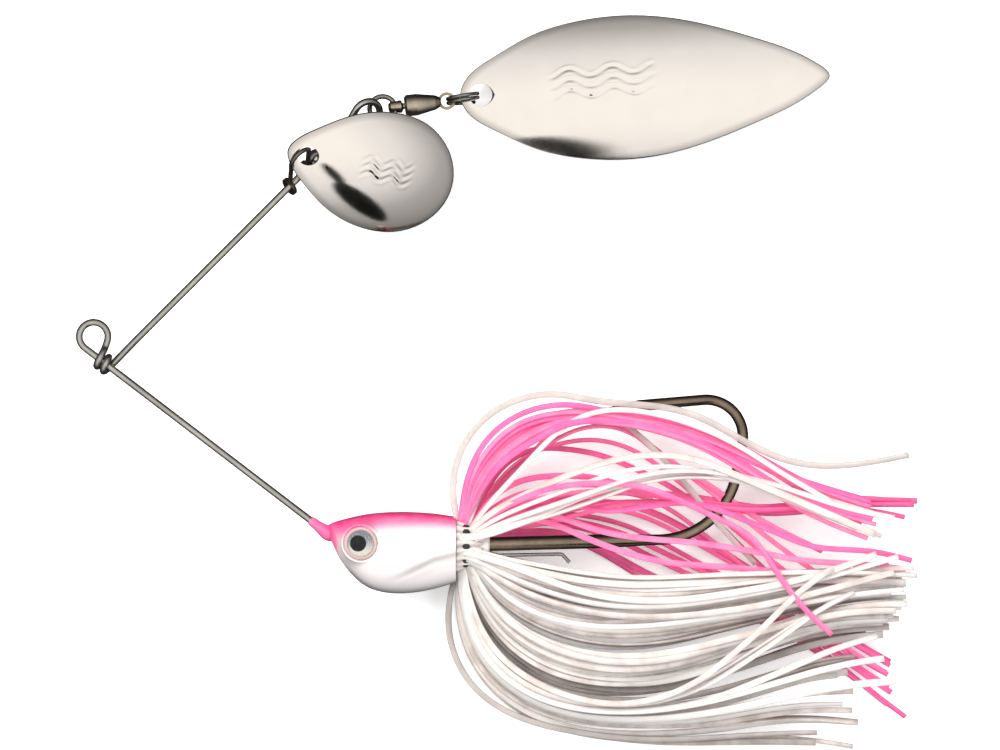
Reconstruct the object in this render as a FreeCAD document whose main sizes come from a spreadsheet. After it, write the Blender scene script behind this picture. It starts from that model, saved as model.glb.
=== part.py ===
import FreeCAD, Part
import math
import os
import Sketcher

# A tandem-blade spinnerbait lying on its right side.
# +X runs from the line tie to the tip of the skirt, +Y from the head up to the blade arm,
# +Z up from the surface it lies on.  Millimetres.

V = FreeCAD.Vector
UP = V(0, 0, 1)

doc = FreeCAD.newDocument("Spinnerbait")
sheet = doc.addObject("Spreadsheet::Sheet", "Sizes")

SIZES = (
    ("wire_plane", 5.7, "height of the wire frame's plane above the surface"),
    ("wire_radius", 0.5, "frame wire"),
    ("arm_line", 57.71, "upper arm runs along y = x + arm_line"),
    ("tie_radius", 2.05, "line tie loop, centre line"),
    ("wrap_gap", 0.12, "air between the wrap and the arm inside it"),
    ("wrap_pitch", 1.15, "advance of the wrap per turn"),
    ("end_loop_x", -20.05, "where the upper arm turns into its end loop"),
    ("end_loop_radius", 2.05, "arm end loop, centre line"),
    ("end_loop_offset", 0.65, "end loop centre, to one side of the arm"),
    ("end_loop_run", 4.5, "length of the bend that leads into the end loop"),
    ("end_loop_tilt", -40, "degrees that the end loop is twisted out of plane"),
    ("head_rear_x", -6.9, "rear face of the head"),
    ("axis_y", -24.3, "hook shank and skirt axis"),
    ("stub_radius", 2.0, "collar stub behind the head"),
    ("stub_length", 4.2, "collar stub behind the head"),
    ("eye_x", -20.4, "eye centre"),
    ("eye_y", -23.8, "eye centre"),
    ("lens_radius", 2.35, "clear eye dome"),
    ("disc_radius", 1.86, "printed disc under the dome"),
    ("disc_thick", 0.3, "printed disc"),
    ("eye_seat", 4.35, "eye pocket floor, from the middle plane"),
    ("lens_height", 1.15, "eye dome above its pocket floor"),
    ("boss_height", 4.5, "raised seat round each eye, from the middle plane"),
    ("shank_radius", 1.0, "hook shank"),
    ("bend_radius", 0.77, "hook wire through the bend"),
    ("point_length", 4.5, "hook point taper"),
    ("keeper_radius", 0.25, "trailer keeper wire"),
    ("band_length", 1.0, "rubber band round the skirt"),
    ("waist_radius", 2.8, "gathered skirt under the band"),
    ("band_radius", 3.35, "rubber band, outside"),
    ("strand_radius", 0.42, "one silicone strand"),
    ("bead_radius", 1.45, "bearing beads"),
    ("bead_bore", 0.56, "bearing bead bore"),
    ("clevis_wire", 0.34, "clevis strap, half thickness"),
    ("clevis_half", 1.6, "clevis centre line, half width"),
    ("clevis_leg", 5.2, "clevis leg from wire axis to the start of its bow"),
    ("clevis_lean", 24, "degrees that the clevis leans towards the arm end"),
    ("clevis_roll", 72, "degrees that the clevis stands up from the wire plane"),
    ("blade_thick", 0.45, "both blades"),
    ("front_hole", 1.4, "front blade hole"),
    ("front_cross", 19, "front blade cup, radius across"),
    ("front_long", 40, "front blade cup, radius along"),
    ("rear_hole", 1.64, "rear blade hole"),
    ("rear_cross", 24, "rear blade cup, radius across"),
    ("rear_long", 300, "rear blade cup, radius along"),
    ("ring_radius", 1.85, "coupling ring, centre line"),
    ("ring_wire", 0.36, "coupling ring, half thickness"),
    ("stem_radius", 0.9, "swivel stem"),
    ("stem_hole", 0.64, "cross hole in the swivel stem"),
    ("barrel_radius", 1.55, "swivel barrel"),
    ("ball_radius", 0.24, "swivel bearing balls"),
    ("ball_circle", 0.76, "swivel ball circle"),
    ("split_radius", 2.2, "split ring, centre line"),
    ("split_wire", 0.26, "split ring, half thickness"),
)
for row, (alias, value, note) in enumerate(SIZES, 1):
    sheet.set(f"A{row}", alias)
    sheet.set(f"B{row}", str(value))
    sheet.set(f"C{row}", note)
    sheet.setAlias(f"B{row}", alias)
doc.recompute()


def size(alias):
    return float(sheet.get(alias))


ZW = size("wire_plane")
AXIS_Y = size("axis_y")
ARM = V(1, 1, 0).normalize()
SIDE = V(-1, 1, 0).normalize()
RIGHT_SIDE = -1
LEFT_SIDE = 1
pieces = []


# ---------------------------------------------------------------- helpers


def keep(thing, label):
    """Name a finished sub-part; its label is the name of its file."""
    thing.Label = label
    pieces.append(thing)
    return thing


def add(kind, name, **bindings):
    """A document object whose properties are bound to expressions over the sheet."""
    thing = doc.addObject(kind, name)
    for prop, expression in bindings.items():
        thing.setExpression(prop, expression)
    return thing


def frame(origin, x_axis, z_axis):
    """Placement at origin with local X on x_axis and local Z as near z_axis as it can be."""
    y_axis = z_axis.cross(x_axis)
    return FreeCAD.Placement(origin, FreeCAD.Rotation(x_axis, y_axis, z_axis, "XZY"))


def along(origin, direction):
    """Placement at origin with local Z on direction."""
    return FreeCAD.Placement(origin, FreeCAD.Rotation(UP, direction))


def cut(name, base, *tools):
    tool = tools[0] if len(tools) == 1 else join(name + "Tools", *tools)
    thing = doc.addObject("Part::Cut", name)
    thing.Base = base
    thing.Tool = tool
    return thing


def join(name, *shapes):
    thing = doc.addObject("Part::MultiFuse", name)
    thing.Shapes = list(shapes)
    return thing


def common(name, base, tool):
    thing = doc.addObject("Part::Common", name)
    thing.Base = base
    thing.Tool = tool
    return thing


def rod(name, radius, length, start, direction):
    """A round rod from start along direction; radius and length are expressions."""
    thing = add("Part::Cylinder", name, Radius=radius, Height=length)
    thing.Placement = along(start, direction)
    return thing


def cone(name, radius_1, radius_2, length, start, direction):
    thing = add("Part::Cone", name, Radius1=radius_1, Radius2=radius_2, Height=length)
    thing.Placement = along(start, direction)
    return thing


def rounded(points, radii=None):
    """Straight runs through points, joined by tangent arcs.

    Each arc has the radius given for its corner, or the largest that its runs allow.
    """
    edges = []
    last = points[0]
    for n in range(1, len(points) - 1):
        corner = points[n]
        a = points[n - 1] - corner
        b = points[n + 1] - corner
        half = a.getAngle(b) / 2
        radius = radii[n - 1] if radii else 0.45 * min(a.Length, b.Length) * math.tan(half)
        a.normalize()
        b.normalize()
        reach = radius / math.tan(half)
        middle = corner + (a + b).normalize() * (radius / math.sin(half) - radius)
        start = corner + a * reach
        end = corner + b * reach
        if start.distanceToPoint(last) > 1e-6:
            edges.append(Part.LineSegment(last, start).toShape())
        edges.append(Part.Arc(start, middle, end).toShape())
        last = end
    edges.append(Part.LineSegment(last, points[-1]).toShape())
    return Part.Wire(edges)


def sweep(name, wire, radius):
    """Round wire along a path; radius is an expression."""
    path = doc.addObject("Part::Feature", name + "Path")
    path.Shape = wire
    section = add("Part::Circle", name + "Section", Radius=radius)
    first = wire.OrderedEdges[0]
    section.Placement = along(wire.OrderedVertexes[0].Point, first.tangentAt(first.FirstParameter))
    thing = doc.addObject("Part::Sweep", name)
    thing.Sections = [section]
    thing.Spine = (path, [f"Edge{n + 1}" for n in range(len(wire.Edges))])
    thing.Solid = True
    thing.Frenet = False
    thing.Transition = "Transformed"
    return thing


def turned(label, profile, placement):
    """A PartDesign body turned about its local X axis from a closed (x, radius) profile."""
    body = doc.addObject("PartDesign::Body", label)
    sketch = body.newObject("Sketcher::SketchObject", label + "Sketch")
    plane = next(f for f in body.Origin.OriginFeatures if f.Role == "XY_Plane")
    sketch.AttachmentSupport = (plane, "")
    sketch.MapMode = "FlatFace"
    points = [V(x, r, 0) for x, r in profile]
    for n, point in enumerate(points):
        after = points[(n + 1) % len(points)]
        sketch.addGeometry(Part.LineSegment(point, after), False)
    for constraint in closed_chain(len(points)):
        sketch.addConstraint(constraint)
    spin = body.newObject("PartDesign::Revolution", label + "Turned")
    spin.Profile = sketch
    spin.ReferenceAxis = (sketch, ["H_Axis"])
    spin.Angle = 360
    body.Placement = placement
    return body


def closed_chain(count):
    """Join the end of each line to the start of the next."""
    return [Sketcher.Constraint("Coincident", n, 2, (n + 1) % count, 1) for n in range(count)]


# ---------------------------------------------------------------- wire frame

ARM_LINE = size("arm_line")
DOWN = V(0.7947, -0.607, 0).normalize()  # along the lower arm, towards the head
LOWER_UP = V(-DOWN.y, DOWN.x, 0)  # square to it, towards the upper arm
CROSSING = V(-56.45, 1.26, ZW)  # where the two arms meet, inside the wrap
NOSE = CROSSING + DOWN * 37.8
WIRE_END = NOSE + DOWN * 5.0
ARM_END = V(size("end_loop_x"), size("end_loop_x") + ARM_LINE, ZW)


def frame_wire_path():
    """Lower arm, line tie, wrap round the lower arm, upper arm and end loop in one wire."""
    tie = size("tie_radius")
    foot = CROSSING - DOWN * 4.4
    centre = foot + LOWER_UP * tie

    def on_tie(degrees, lift=0.0):
        """Point of the tie loop, degrees turned from its foot on the lower arm."""
        a = math.radians(degrees)
        return centre - LOWER_UP * (tie * math.cos(a)) - DOWN * (tie * math.sin(a)) + UP * lift

    wrap = 2 * size("wire_radius") + size("wrap_gap")
    pitch = size("wrap_pitch")
    turns = 1.5

    def on_wrap(turn):
        """Point of the wrap, turn counted from where it crosses above the arm."""
        a = math.pi / 2 + 2 * math.pi * turn
        middle = CROSSING + DOWN * (pitch * (turn - turns))
        return middle + LOWER_UP * (wrap * math.cos(a)) + UP * (wrap * math.sin(a))

    lower = Part.LineSegment(WIRE_END, foot).toShape()
    loop = Part.Arc(on_tie(0), on_tie(125), on_tie(250)).toShape()
    a = math.radians(250)
    leave = LOWER_UP * math.sin(a) - DOWN * math.cos(a)
    points = [on_tie(250), on_tie(250) + leave * 1.0]
    points += [foot + LOWER_UP * 1.05 + DOWN * 2.5 + UP * 0.8]
    points += [on_wrap(n / 8) for n in range(int(turns * 8) + 1)]
    points += [CROSSING + ARM * 1.5 - UP * 0.98, CROSSING + ARM * 4.0 - UP * 0.3]
    points += [CROSSING + ARM * 7.0]
    bend = ARM_END - ARM * size("end_loop_run")
    end = end_loop()
    return Part.Wire([lower, loop, *rounded([*points, bend, end(0)]).Edges,
                      Part.Arc(end(0), end(132), end(264)).toShape()])


def end_loop():
    """A function giving the point of the end loop at some degrees from where the arm meets it."""
    tilt = math.radians(size("end_loop_tilt"))
    inward = SIDE * -math.cos(tilt) + UP * math.sin(tilt)
    radius = size("end_loop_radius")
    offset = size("end_loop_offset")
    run = size("end_loop_run")
    centre = ARM_END + inward * offset
    first = math.atan2(-offset, -run) + math.acos(radius / math.hypot(run, offset))

    def at(degrees):
        a = first + math.radians(degrees)
        return centre + ARM * (radius * math.cos(a)) + inward * (radius * math.sin(a))

    return at


frame_wire = keep(sweep("FrameWire", frame_wire_path(), "Sizes.wire_radius"), "frame_wire")

# ---------------------------------------------------------------- head and eyes

HEAD_SECTIONS = (  # x, top y, bottom y, half thickness
    (-25.3, -21.5, -22.7, 0.5),
    (-24.5, -21.0, -24.0, 1.45),
    (-23.4, -20.65, -26.3, 2.7),
    (-22.0, -20.3, -28.2, 3.7),
    (-19.6, -19.8, -30.2, 4.7),
    (-15.9, -19.5, -31.1, 5.3),
    (-12.2, -19.55, -30.9, 5.2),
    (-9.4, -19.8, -30.3, 4.75),
    (-6.9, -20.2, -29.5, 4.2),
)


def head_section(n, x, top, bottom, half):
    """One upright oval of the head, its long axis on Y."""
    oval = doc.addObject("Part::Ellipse", f"HeadOval{n}")
    oval.MajorRadius = (top - bottom) / 2
    oval.MinorRadius = half
    oval.Placement = frame(V(x, (top + bottom) / 2, ZW), V(0, 1, 0), V(1, 0, 0))
    return oval


head_skin = doc.addObject("Part::Loft", "HeadSkin")
head_skin.Sections = [head_section(n, *s) for n, s in enumerate(HEAD_SECTIONS)]
head_skin.Solid = True
head_skin.Ruled = False
HEAD_REAR = V(size("head_rear_x"), AXIS_Y, ZW)
BACK = V(1, 0, 0)
nose_sleeve = cone("NoseSleeve", "0.8", "1.5", "3.4", NOSE - DOWN * 1.1, DOWN)
stub = rod("Stub", "Sizes.stub_radius", "Sizes.stub_length + 2", HEAD_REAR - BACK * 2, BACK)
EYE_MIDDLE = V(size("eye_x"), size("eye_y"), ZW)
eye_boss = rod("EyeBoss", "Sizes.lens_radius + 0.35", "2 * Sizes.boss_height",
               EYE_MIDDLE - UP * size("boss_height"), UP)
head_solid = join("HeadSolid", head_skin, nose_sleeve, stub, eye_boss)
wire_bore = rod("WireBore", "Sizes.wire_radius", "9", WIRE_END - DOWN * 9, DOWN)
SHANK_TILT = V(46.5, 1.25, 0).normalize()
SHANK_START = V(-15.0, -24.45, ZW)
shank_bore = rod("ShankBore", "Sizes.shank_radius", "16", SHANK_START, SHANK_TILT)
KEEPER_START = V(-8.5, -25.85, ZW)
KEEPER_BEND = V(8.2, -25.5, ZW)
keeper_way = (KEEPER_BEND - KEEPER_START).normalize()
keeper_bore = rod("KeeperBore", "Sizes.keeper_radius", "8", KEEPER_START, keeper_way)


def eye_place(side):
    """Frame of one eye: origin on its pocket floor, local X outward."""
    seat = V(size("eye_x"), size("eye_y"), ZW + side * size("eye_seat"))
    return FreeCAD.Placement(seat, FreeCAD.Rotation(V(1, 0, 0), UP * side))


eye_pockets = [
    rod(f"EyePocket{side}", "Sizes.lens_radius", "4", eye_place(side).Base, UP * side)
    for side in (LEFT_SIDE, RIGHT_SIDE)
]
head = cut("Head", head_solid, wire_bore, shank_bore, keeper_bore, *eye_pockets)
keep(head, "head_body")


def dome_profile():
    """Half section of the clear dome: a hollow for the disc below, a round cap above."""
    disc = size("disc_thick")
    rim = size("lens_radius") - 0.02
    top = size("lens_height")
    flank = 0.45
    cap = [(flank + (top - flank) * math.sin(a), rim * math.cos(a)) for a in
           (math.radians(15 * n) for n in range(6))]
    floor = [(disc, 0), (disc, size("disc_radius")), (0, size("disc_radius")), (0, rim)]
    return floor + cap + [(top, 0)]


for side, name in ((LEFT_SIDE, "left"), (RIGHT_SIDE, "right")):
    disc_rim = size("disc_radius") - 0.02
    disc_profile = [(0, 0), (size("disc_thick"), 0), (size("disc_thick"), disc_rim), (0, disc_rim)]
    keep(turned(f"EyeDisc{name}", disc_profile, eye_place(side)), f"eye_disc_{name}")
    keep(turned(f"EyeLens{name}", dome_profile(), eye_place(side)), f"eye_lens_{name}")

# ---------------------------------------------------------------- hook and trailer keeper

SHANK_END = SHANK_START + SHANK_TILT * 30.0
TAPER_END = SHANK_END + SHANK_TILT * 6.0
LOW_CORNER = SHANK_START + SHANK_TILT * 46.5
HIGH_CORNER = V(35.2, -2.9, ZW)
POINT = V(14.65, -4.65, ZW)
POINT_BACK = (HIGH_CORNER - POINT).normalize()
TAPER_START = POINT + POINT_BACK * size("point_length")

shank = rod("Shank", "Sizes.shank_radius", "30", SHANK_START, SHANK_TILT)
taper = cone("ShankTaper", "Sizes.shank_radius", "Sizes.bend_radius", "6", SHANK_END, SHANK_TILT)
bend_path = rounded([TAPER_END, LOW_CORNER, HIGH_CORNER, TAPER_START], [11.5, 5.2])
bend = sweep("Bend", bend_path, "Sizes.bend_radius")
point = cone("Point", "Sizes.bend_radius", "0.06", "Sizes.point_length", TAPER_START, -POINT_BACK)
BARB_TILT = math.radians(14)
BARB_SIDE = V(POINT_BACK.y, -POINT_BACK.x, 0)
BARB_BACK = POINT_BACK * math.cos(BARB_TILT) + BARB_SIDE * math.sin(BARB_TILT)
barb = cone("Barb", "0.6", "0.05", "3.6", POINT + POINT_BACK * 3.6, BARB_BACK)
keep(join("Hook", shank, taper, bend, point, barb), "hook")

KEEPER_END = V(9.3, -26.7, ZW)
keeper_path = rounded([KEEPER_START, KEEPER_BEND, KEEPER_END], [0.7])
keep(sweep("Keeper", keeper_path, "Sizes.keeper_radius"), "trailer_keeper")

# ---------------------------------------------------------------- skirt

WAIST = size("waist_radius")
STUB = size("stub_radius") + 0.02
BAND = size("band_length") / 2
waist_profile = [(-1.15, STUB), (-1.15, WAIST), (1.25, WAIST), (1.25, STUB)]
BAND_CENTRE = V(-5.45, AXIS_Y, ZW)
along_axis = FreeCAD.Placement(BAND_CENTRE, FreeCAD.Rotation())
keep(turned("SkirtWaist", waist_profile, along_axis), "skirt_waist")
band_inside = WAIST + 0.02
band_outside = size("band_radius")
band_profile = [(-BAND, band_inside), (-BAND, band_outside - 0.2), (-BAND + 0.2, band_outside)]
band_profile += [(BAND - 0.2, band_outside), (BAND, band_outside - 0.2), (BAND, band_inside)]
keep(turned("SkirtBand", band_profile, along_axis), "skirt_band")


LANES = {  # height of each layer of strands from the wire plane
    ("front", LEFT_SIDE): 5.4,
    ("rear", LEFT_SIDE): 3.35,
    ("rear", RIGHT_SIDE): -3.15,
    ("front", RIGHT_SIDE): -5.1,
}
FAN_TOP = 14  # degrees round the waist of the first strand
FAN_SPREAD = 152


def strand(tier, side, share):
    """One strand, from the gathered waist out to its free end.

    share runs from 0 at the top edge of the fan to 1 at its bottom edge.
    The front tier leaves the waist square to the axis and folds back over the band.
    The rear tier leaves the waist already pointing back.
    """
    front = tier == "front"
    turn = math.radians(FAN_TOP + FAN_SPREAD * share)
    low = share ** 1.15
    root = WAIST + size("strand_radius")
    start_x = BAND_CENTRE.x + (-BAND - 0.47 if front else BAND + 0.47)
    start = V(start_x, AXIS_Y + root * math.cos(turn), ZW + side * root * math.sin(turn))
    level = ZW + LANES[(tier, side)]
    if front:
        corner = V(-7.2 + 1.2 * share, -3.2 - 48.0 * low, level)
        end = V(61.0 - 8.0 * share, -8.6 - 43.0 * low, level - 0.15)
        reach = 8.5
    else:
        corner = V(6.5, -9.5 - 34.0 * low, level)
        end = V(56.0 + 3.0 * math.sin(5 * share), -15.0 - 32.0 * low, level)
        reach = 12.0
    if abs(corner.y - AXIS_Y) < 9 and front:
        reach = 4.0
    leg = min(start.distanceToPoint(corner), corner.distanceToPoint(end))
    half = (start - corner).getAngle(end - corner) / 2
    reach = min(reach, 0.8 * leg * math.tan(half))
    path = rounded([start, corner, end], [reach])
    edge = path.Edges[0]
    section = Part.Wire(Part.Circle(start, edge.tangentAt(edge.FirstParameter),
                                    size("strand_radius")).toShape())
    return path.makePipeShell([section], True, False)


SHARES = {  # places of the strands in each fan
    ("front", "upper"): (0.0, 0.11, 0.22, 0.33),
    ("front", "lower"): (0.56, 0.67, 0.78, 0.89, 1.0),
    ("rear", "upper"): (0.05, 0.17, 0.29, 0.41),
    ("rear", "lower"): (0.6, 0.73, 0.86, 0.98),
}
for (tier, part), shares in SHARES.items():
    for side, name in ((LEFT_SIDE, "left"), (RIGHT_SIDE, "right")):
        group = doc.addObject("Part::Feature", f"Skirt{tier}{part}{name}")
        group.Shape = Part.makeCompound([strand(tier, side, share) for share in shares])
        keep(group, f"skirt_{tier}_{part}_{name}")

# ---------------------------------------------------------------- beads and clevis

CLEVIS_FOOT = V(-29.45, -29.45 + ARM_LINE, ZW)  # middle of the clevis on the arm
HALF = size("clevis_half")
ROLL = math.radians(size("clevis_roll"))
OUT = SIDE * math.cos(ROLL) + UP * math.sin(ROLL)  # from the arm to the bow, square to the arm
LEAN = math.radians(size("clevis_lean"))
LEG = OUT * math.cos(LEAN) + ARM * math.sin(LEAN)
CROSS = ARM * math.cos(LEAN) - OUT * math.sin(LEAN)


def eyelet(n, middle):
    """Flat eye at the end of a leg, with a hole wide enough for the wire at this lean."""
    tab = rod(f"ClevisTab{n}", "1.35", "0.5", middle - CROSS * 0.25, CROSS)
    hole = rod(f"ClevisHole{n}", "0.82", "2", middle - CROSS, CROSS)
    return cut(f"ClevisEyelet{n}", tab, hole)


FOOT_SHIFT = HALF / math.cos(LEAN)
eyelets = [eyelet(n, CLEVIS_FOOT + ARM * (FOOT_SHIFT * n)) for n in (-1, 1)]


def bow_path():
    """The strap: its legs follow the eyelets, so both stand on the wire."""
    leg = size("clevis_leg")
    start = 1.1
    a = CLEVIS_FOOT - ARM * FOOT_SHIFT
    b = CLEVIS_FOOT + ARM * FOOT_SHIFT
    top = CLEVIS_FOOT + LEG * (leg + HALF)
    bow = Part.Arc(a + LEG * leg, top, b + LEG * leg)
    first = Part.LineSegment(a + LEG * start, a + LEG * leg)
    last = Part.LineSegment(b + LEG * leg, b + LEG * start)
    return Part.Wire([first.toShape(), bow.toShape(), last.toShape()])


strap = sweep("ClevisStrap", bow_path(), "Sizes.clevis_wire")
keep(join("Clevis", strap, *eyelets), "clevis")


def bead_profile():
    """A ball with a bore, as a closed half section."""
    bore = size("bead_bore")
    radius = size("bead_radius")
    flat = math.asin(bore / radius)
    steps = 14
    angles = [flat + (math.pi - 2 * flat) * n / steps for n in range(steps + 1)]
    return [(-radius * math.cos(a), radius * math.sin(a)) for a in angles]


BEAD_STEP = 2 * size("bead_radius") + 0.06
for n, name in enumerate(("front_bead", "rear_bead")):
    middle = CLEVIS_FOOT + ARM * (FOOT_SHIFT + 2.05 + BEAD_STEP * n)
    on_arm = FreeCAD.Placement(middle, FreeCAD.Rotation(V(1, 0, 0), ARM))
    keep(turned(f"Bead{n}", bead_profile(), on_arm), name)

# ---------------------------------------------------------------- blades


def outline(name, half_widths, height):
    """A tall prism with the blade's outline.

    half_widths lists (distance from the hole, half width), butt first and tip last.
    """
    upper = [V(u, w, 0) for u, w in half_widths]
    lower = [V(u, -w, 0) for u, w in half_widths[1:-1]]
    curve = Part.BSplineCurve()
    curve.interpolate(Points=upper + lower[::-1], PeriodicFlag=True)
    sketch = doc.addObject("Part::Feature", name + "Outline")
    sketch.Shape = Part.Wire(curve.toShape())
    prism = doc.addObject("Part::Extrusion", name + "Prism")
    prism.Base = sketch
    prism.DirMode = "Custom"
    prism.Dir = UP
    prism.LengthFwd = height
    prism.LengthRev = height
    prism.Solid = True
    return prism


def cup(name, cross, long, thick, middle):
    """Barrel-shaped shell, its crown at height 0 over middle; cross and long are its radii."""
    shells = []
    for n, less in enumerate((0, thick)):
        shell = doc.addObject("Part::Torus", f"{name}Shell{n}")
        shell.Radius1 = long - cross
        shell.Radius2 = cross - less
        shell.Placement = FreeCAD.Placement(V(middle, 0, -long), FreeCAD.Rotation(V(1, 0, 0), 90))
        shells.append(shell)
    return cut(name + "Cup", *shells)


def blade(name, label, half_widths, cross, long, middle, hole, place):
    prism = outline(name, half_widths, 12)
    skin = common(name + "Skin", prism, cup(name, size(cross), size(long), size("blade_thick"), middle))
    drill = rod(name + "Hole", f"Sizes.{hole}", "24", V(0, 0, -12), UP)
    thing = cut(name, skin, drill)
    thing.Placement = place
    return keep(thing, label)


def drop(u, long_size, middle):
    """How far the cup's crown line lies below its highest point at u."""
    long = size(long_size)
    return long - math.sqrt(long ** 2 - (u - middle) ** 2)


FRONT_OUTLINE = ((-2.75, 0), (-1.7, 2.15), (0.5, 4.1), (4.9, 7.0), (10.6, 8.65), (16.3, 8.05),
                 (20.6, 4.7), (22.1, 0))
FRONT_MIDDLE = 11.5
FRONT_SLOPE = 0.45  # fall of the blade away from the arm
FRONT_AXIS = V(math.cos(math.radians(11.6)), -math.sin(math.radians(11.6)), 0)
FRONT_HOLE = V(-27.87, 31.16, ZW + 4.45)


def tilted(flat, slope_direction, slope):
    """A level direction laid on a plane that falls by slope along slope_direction."""
    return (flat - UP * (flat.dot(slope_direction) * slope)).normalize()


front_x = tilted(FRONT_AXIS, -SIDE, FRONT_SLOPE)
front_z = (UP - SIDE * FRONT_SLOPE).normalize()
front_lift = drop(0, "front_long", FRONT_MIDDLE)
front_place = frame(FRONT_HOLE, front_x, front_z)
front_place.Base = FRONT_HOLE + front_z * front_lift
blade("FrontBlade", "front_blade", FRONT_OUTLINE, "front_cross", "front_long", FRONT_MIDDLE,
      "front_hole", front_place)

# ---------------------------------------------------------------- coupling ring and swivel

RING_CENTRE = V(-17.45, 38.18, ZW - 1.0)
SWIVEL_YAW = math.radians(7)
SWIVEL_DROP = math.radians(2)
SWIVEL_LEVEL = V(math.cos(SWIVEL_YAW), math.sin(SWIVEL_YAW), 0)
SWIVEL = SWIVEL_LEVEL * math.cos(SWIVEL_DROP) - UP * math.sin(SWIVEL_DROP)
LEVEL_SIDE = SWIVEL.cross(UP).normalize()
SWIVEL_TOP = LEVEL_SIDE.cross(SWIVEL).normalize()
RING_TURN = math.radians(105)
RING_NORMAL = LEVEL_SIDE * math.cos(RING_TURN) + SWIVEL_TOP * math.sin(RING_TURN)
coupling = add("Part::Torus", "CouplingRing", Radius1="Sizes.ring_radius", Radius2="Sizes.ring_wire")
coupling.Placement = along(RING_CENTRE, RING_NORMAL)
keep(coupling, "coupling_ring")

HOLE_AT = size("ring_radius")
swivel_place = frame(RING_CENTRE, SWIVEL, SWIVEL_TOP)


def at_swivel(distance):
    return RING_CENTRE + SWIVEL * distance


STEM = size("stem_radius")
BARREL = size("barrel_radius")
NECK = 0.42
stem_profile = [(0.85, 0), (0.85, 0.45), (1.2, STEM), (2.7, STEM), (3.0, NECK), (4.7, NECK)]
stem_profile += [(4.7, 1.05), (5.2, 1.05), (5.2, 0)]
stem_body = turned("StemBody", stem_profile, swivel_place)
cross_hole = rod("StemHole", "Sizes.stem_hole", "4", at_swivel(HOLE_AT) - RING_NORMAL.cross(SWIVEL) * 2,
                 RING_NORMAL.cross(SWIVEL))
keep(cut("SwivelStem", stem_body, cross_hole), "swivel_stem")

barrel_profile = [(3.2, NECK + 0.05), (3.2, 1.2), (3.5, BARREL), (4.9, BARREL), (7.6, 1.05), (7.6, 0.8)]
barrel_profile += [(6.2, 0.8), (5.9, 1.15), (4.1, 1.15), (4.1, NECK + 0.05)]
keep(turned("SwivelBarrel", barrel_profile, swivel_place), "swivel_barrel")

BALL_X = 4.1 + size("ball_radius") + 0.03
balls = []
BALLS = 8
for n in range(BALLS):
    ball = add("Part::Sphere", f"Ball{n}", Radius="Sizes.ball_radius")
    a = 2 * math.pi * n / BALLS
    spoke = LEVEL_SIDE * math.cos(a) + SWIVEL_TOP * math.sin(a)
    ball.Placement.Base = at_swivel(BALL_X) + spoke * size("ball_circle")
    balls.append(ball)
ball_set = doc.addObject("Part::Compound", "SwivelBalls")
ball_set.Links = balls
keep(ball_set, "swivel_balls")

EYE_AT = 9.25
plug_profile = [(6.25, 0), (6.25, 0.79), (7.62, 0.79), (7.62, 1.05), (8.2, 0.75), (8.6, 0.5), (8.6, 0)]
plug_body = turned("PlugBody", plug_profile, swivel_place)
plug_eye = rod("PlugEye", "1.25", "0.7", at_swivel(EYE_AT) - SWIVEL_TOP * 0.35, SWIVEL_TOP)
plug_hole = rod("PlugHole", "0.84", "4", at_swivel(EYE_AT) - SWIVEL_TOP * 2, SWIVEL_TOP)
keep(cut("SwivelPlug", join("PlugSolid", plug_body, plug_eye), plug_hole), "swivel_eye_plug")

SPLIT_AT = EYE_AT + size("split_radius") + 0.12
SPLIT_CENTRE = at_swivel(SPLIT_AT)
SPLIT_TURNS = 1.9
SPLIT_STEPS = 18  # corners per turn


def split_path():
    """Two turns of a flat coil round the ring's own axis, centred on SPLIT_CENTRE."""
    pitch = 2.2 * size("split_wire")
    radius = size("split_radius")
    points = []
    for n in range(int(SPLIT_TURNS * SPLIT_STEPS) + 1):
        turn = n / SPLIT_STEPS
        a = 2 * math.pi * turn
        spoke = SWIVEL * math.cos(a) + SWIVEL_TOP * math.sin(a)
        points.append(SPLIT_CENTRE + spoke * radius + LEVEL_SIDE * (pitch * (turn - SPLIT_TURNS / 2)))
    return rounded(points)


split_ring = sweep("SplitRing", split_path(), "Sizes.split_wire")
keep(split_ring, "split_ring")

# ---------------------------------------------------------------- rear blade

REAR_OUTLINE = ((-2.95, 0), (-2.0, 2.4), (1.9, 5.25), (7.5, 8.1), (13.5, 9.75), (22, 10.35), (30, 9.2),
                (40.5, 5.8), (48.8, 1.75), (50.4, 0))
REAR_MIDDLE = 20.0
REAR_YAW = math.radians(3.5)
REAR_FALL = 0.035
REAR_AXIS = V(math.cos(REAR_YAW), math.sin(REAR_YAW), 0)
rear_x = tilted(REAR_AXIS, REAR_AXIS, REAR_FALL)
rear_z = (UP + REAR_AXIS * REAR_FALL).normalize()
rear_place = frame(V(0, 0, 0), rear_x, rear_z)
REAR_HOLE = V(-3.4, 40.2, SPLIT_CENTRE.z - 0.55)
rear_place.Base = REAR_HOLE + rear_z * drop(0, "rear_long", REAR_MIDDLE)
blade("RearBlade", "rear_blade", REAR_OUTLINE, "rear_cross", "rear_long", REAR_MIDDLE,
      "rear_hole", rear_place)

# ---------------------------------------------------------------- check and write

doc.recompute()
for thing in doc.Objects:
    if "Invalid" in thing.State or "Error" in thing.State:
        raise RuntimeError(f"{thing.Name} did not compute: {thing.State}")
for piece in pieces:
    if piece.Shape.isNull() or not piece.Shape.isValid() or not piece.Shape.Solids:
        raise RuntimeError(f"{piece.Label} has no valid solid")

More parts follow.
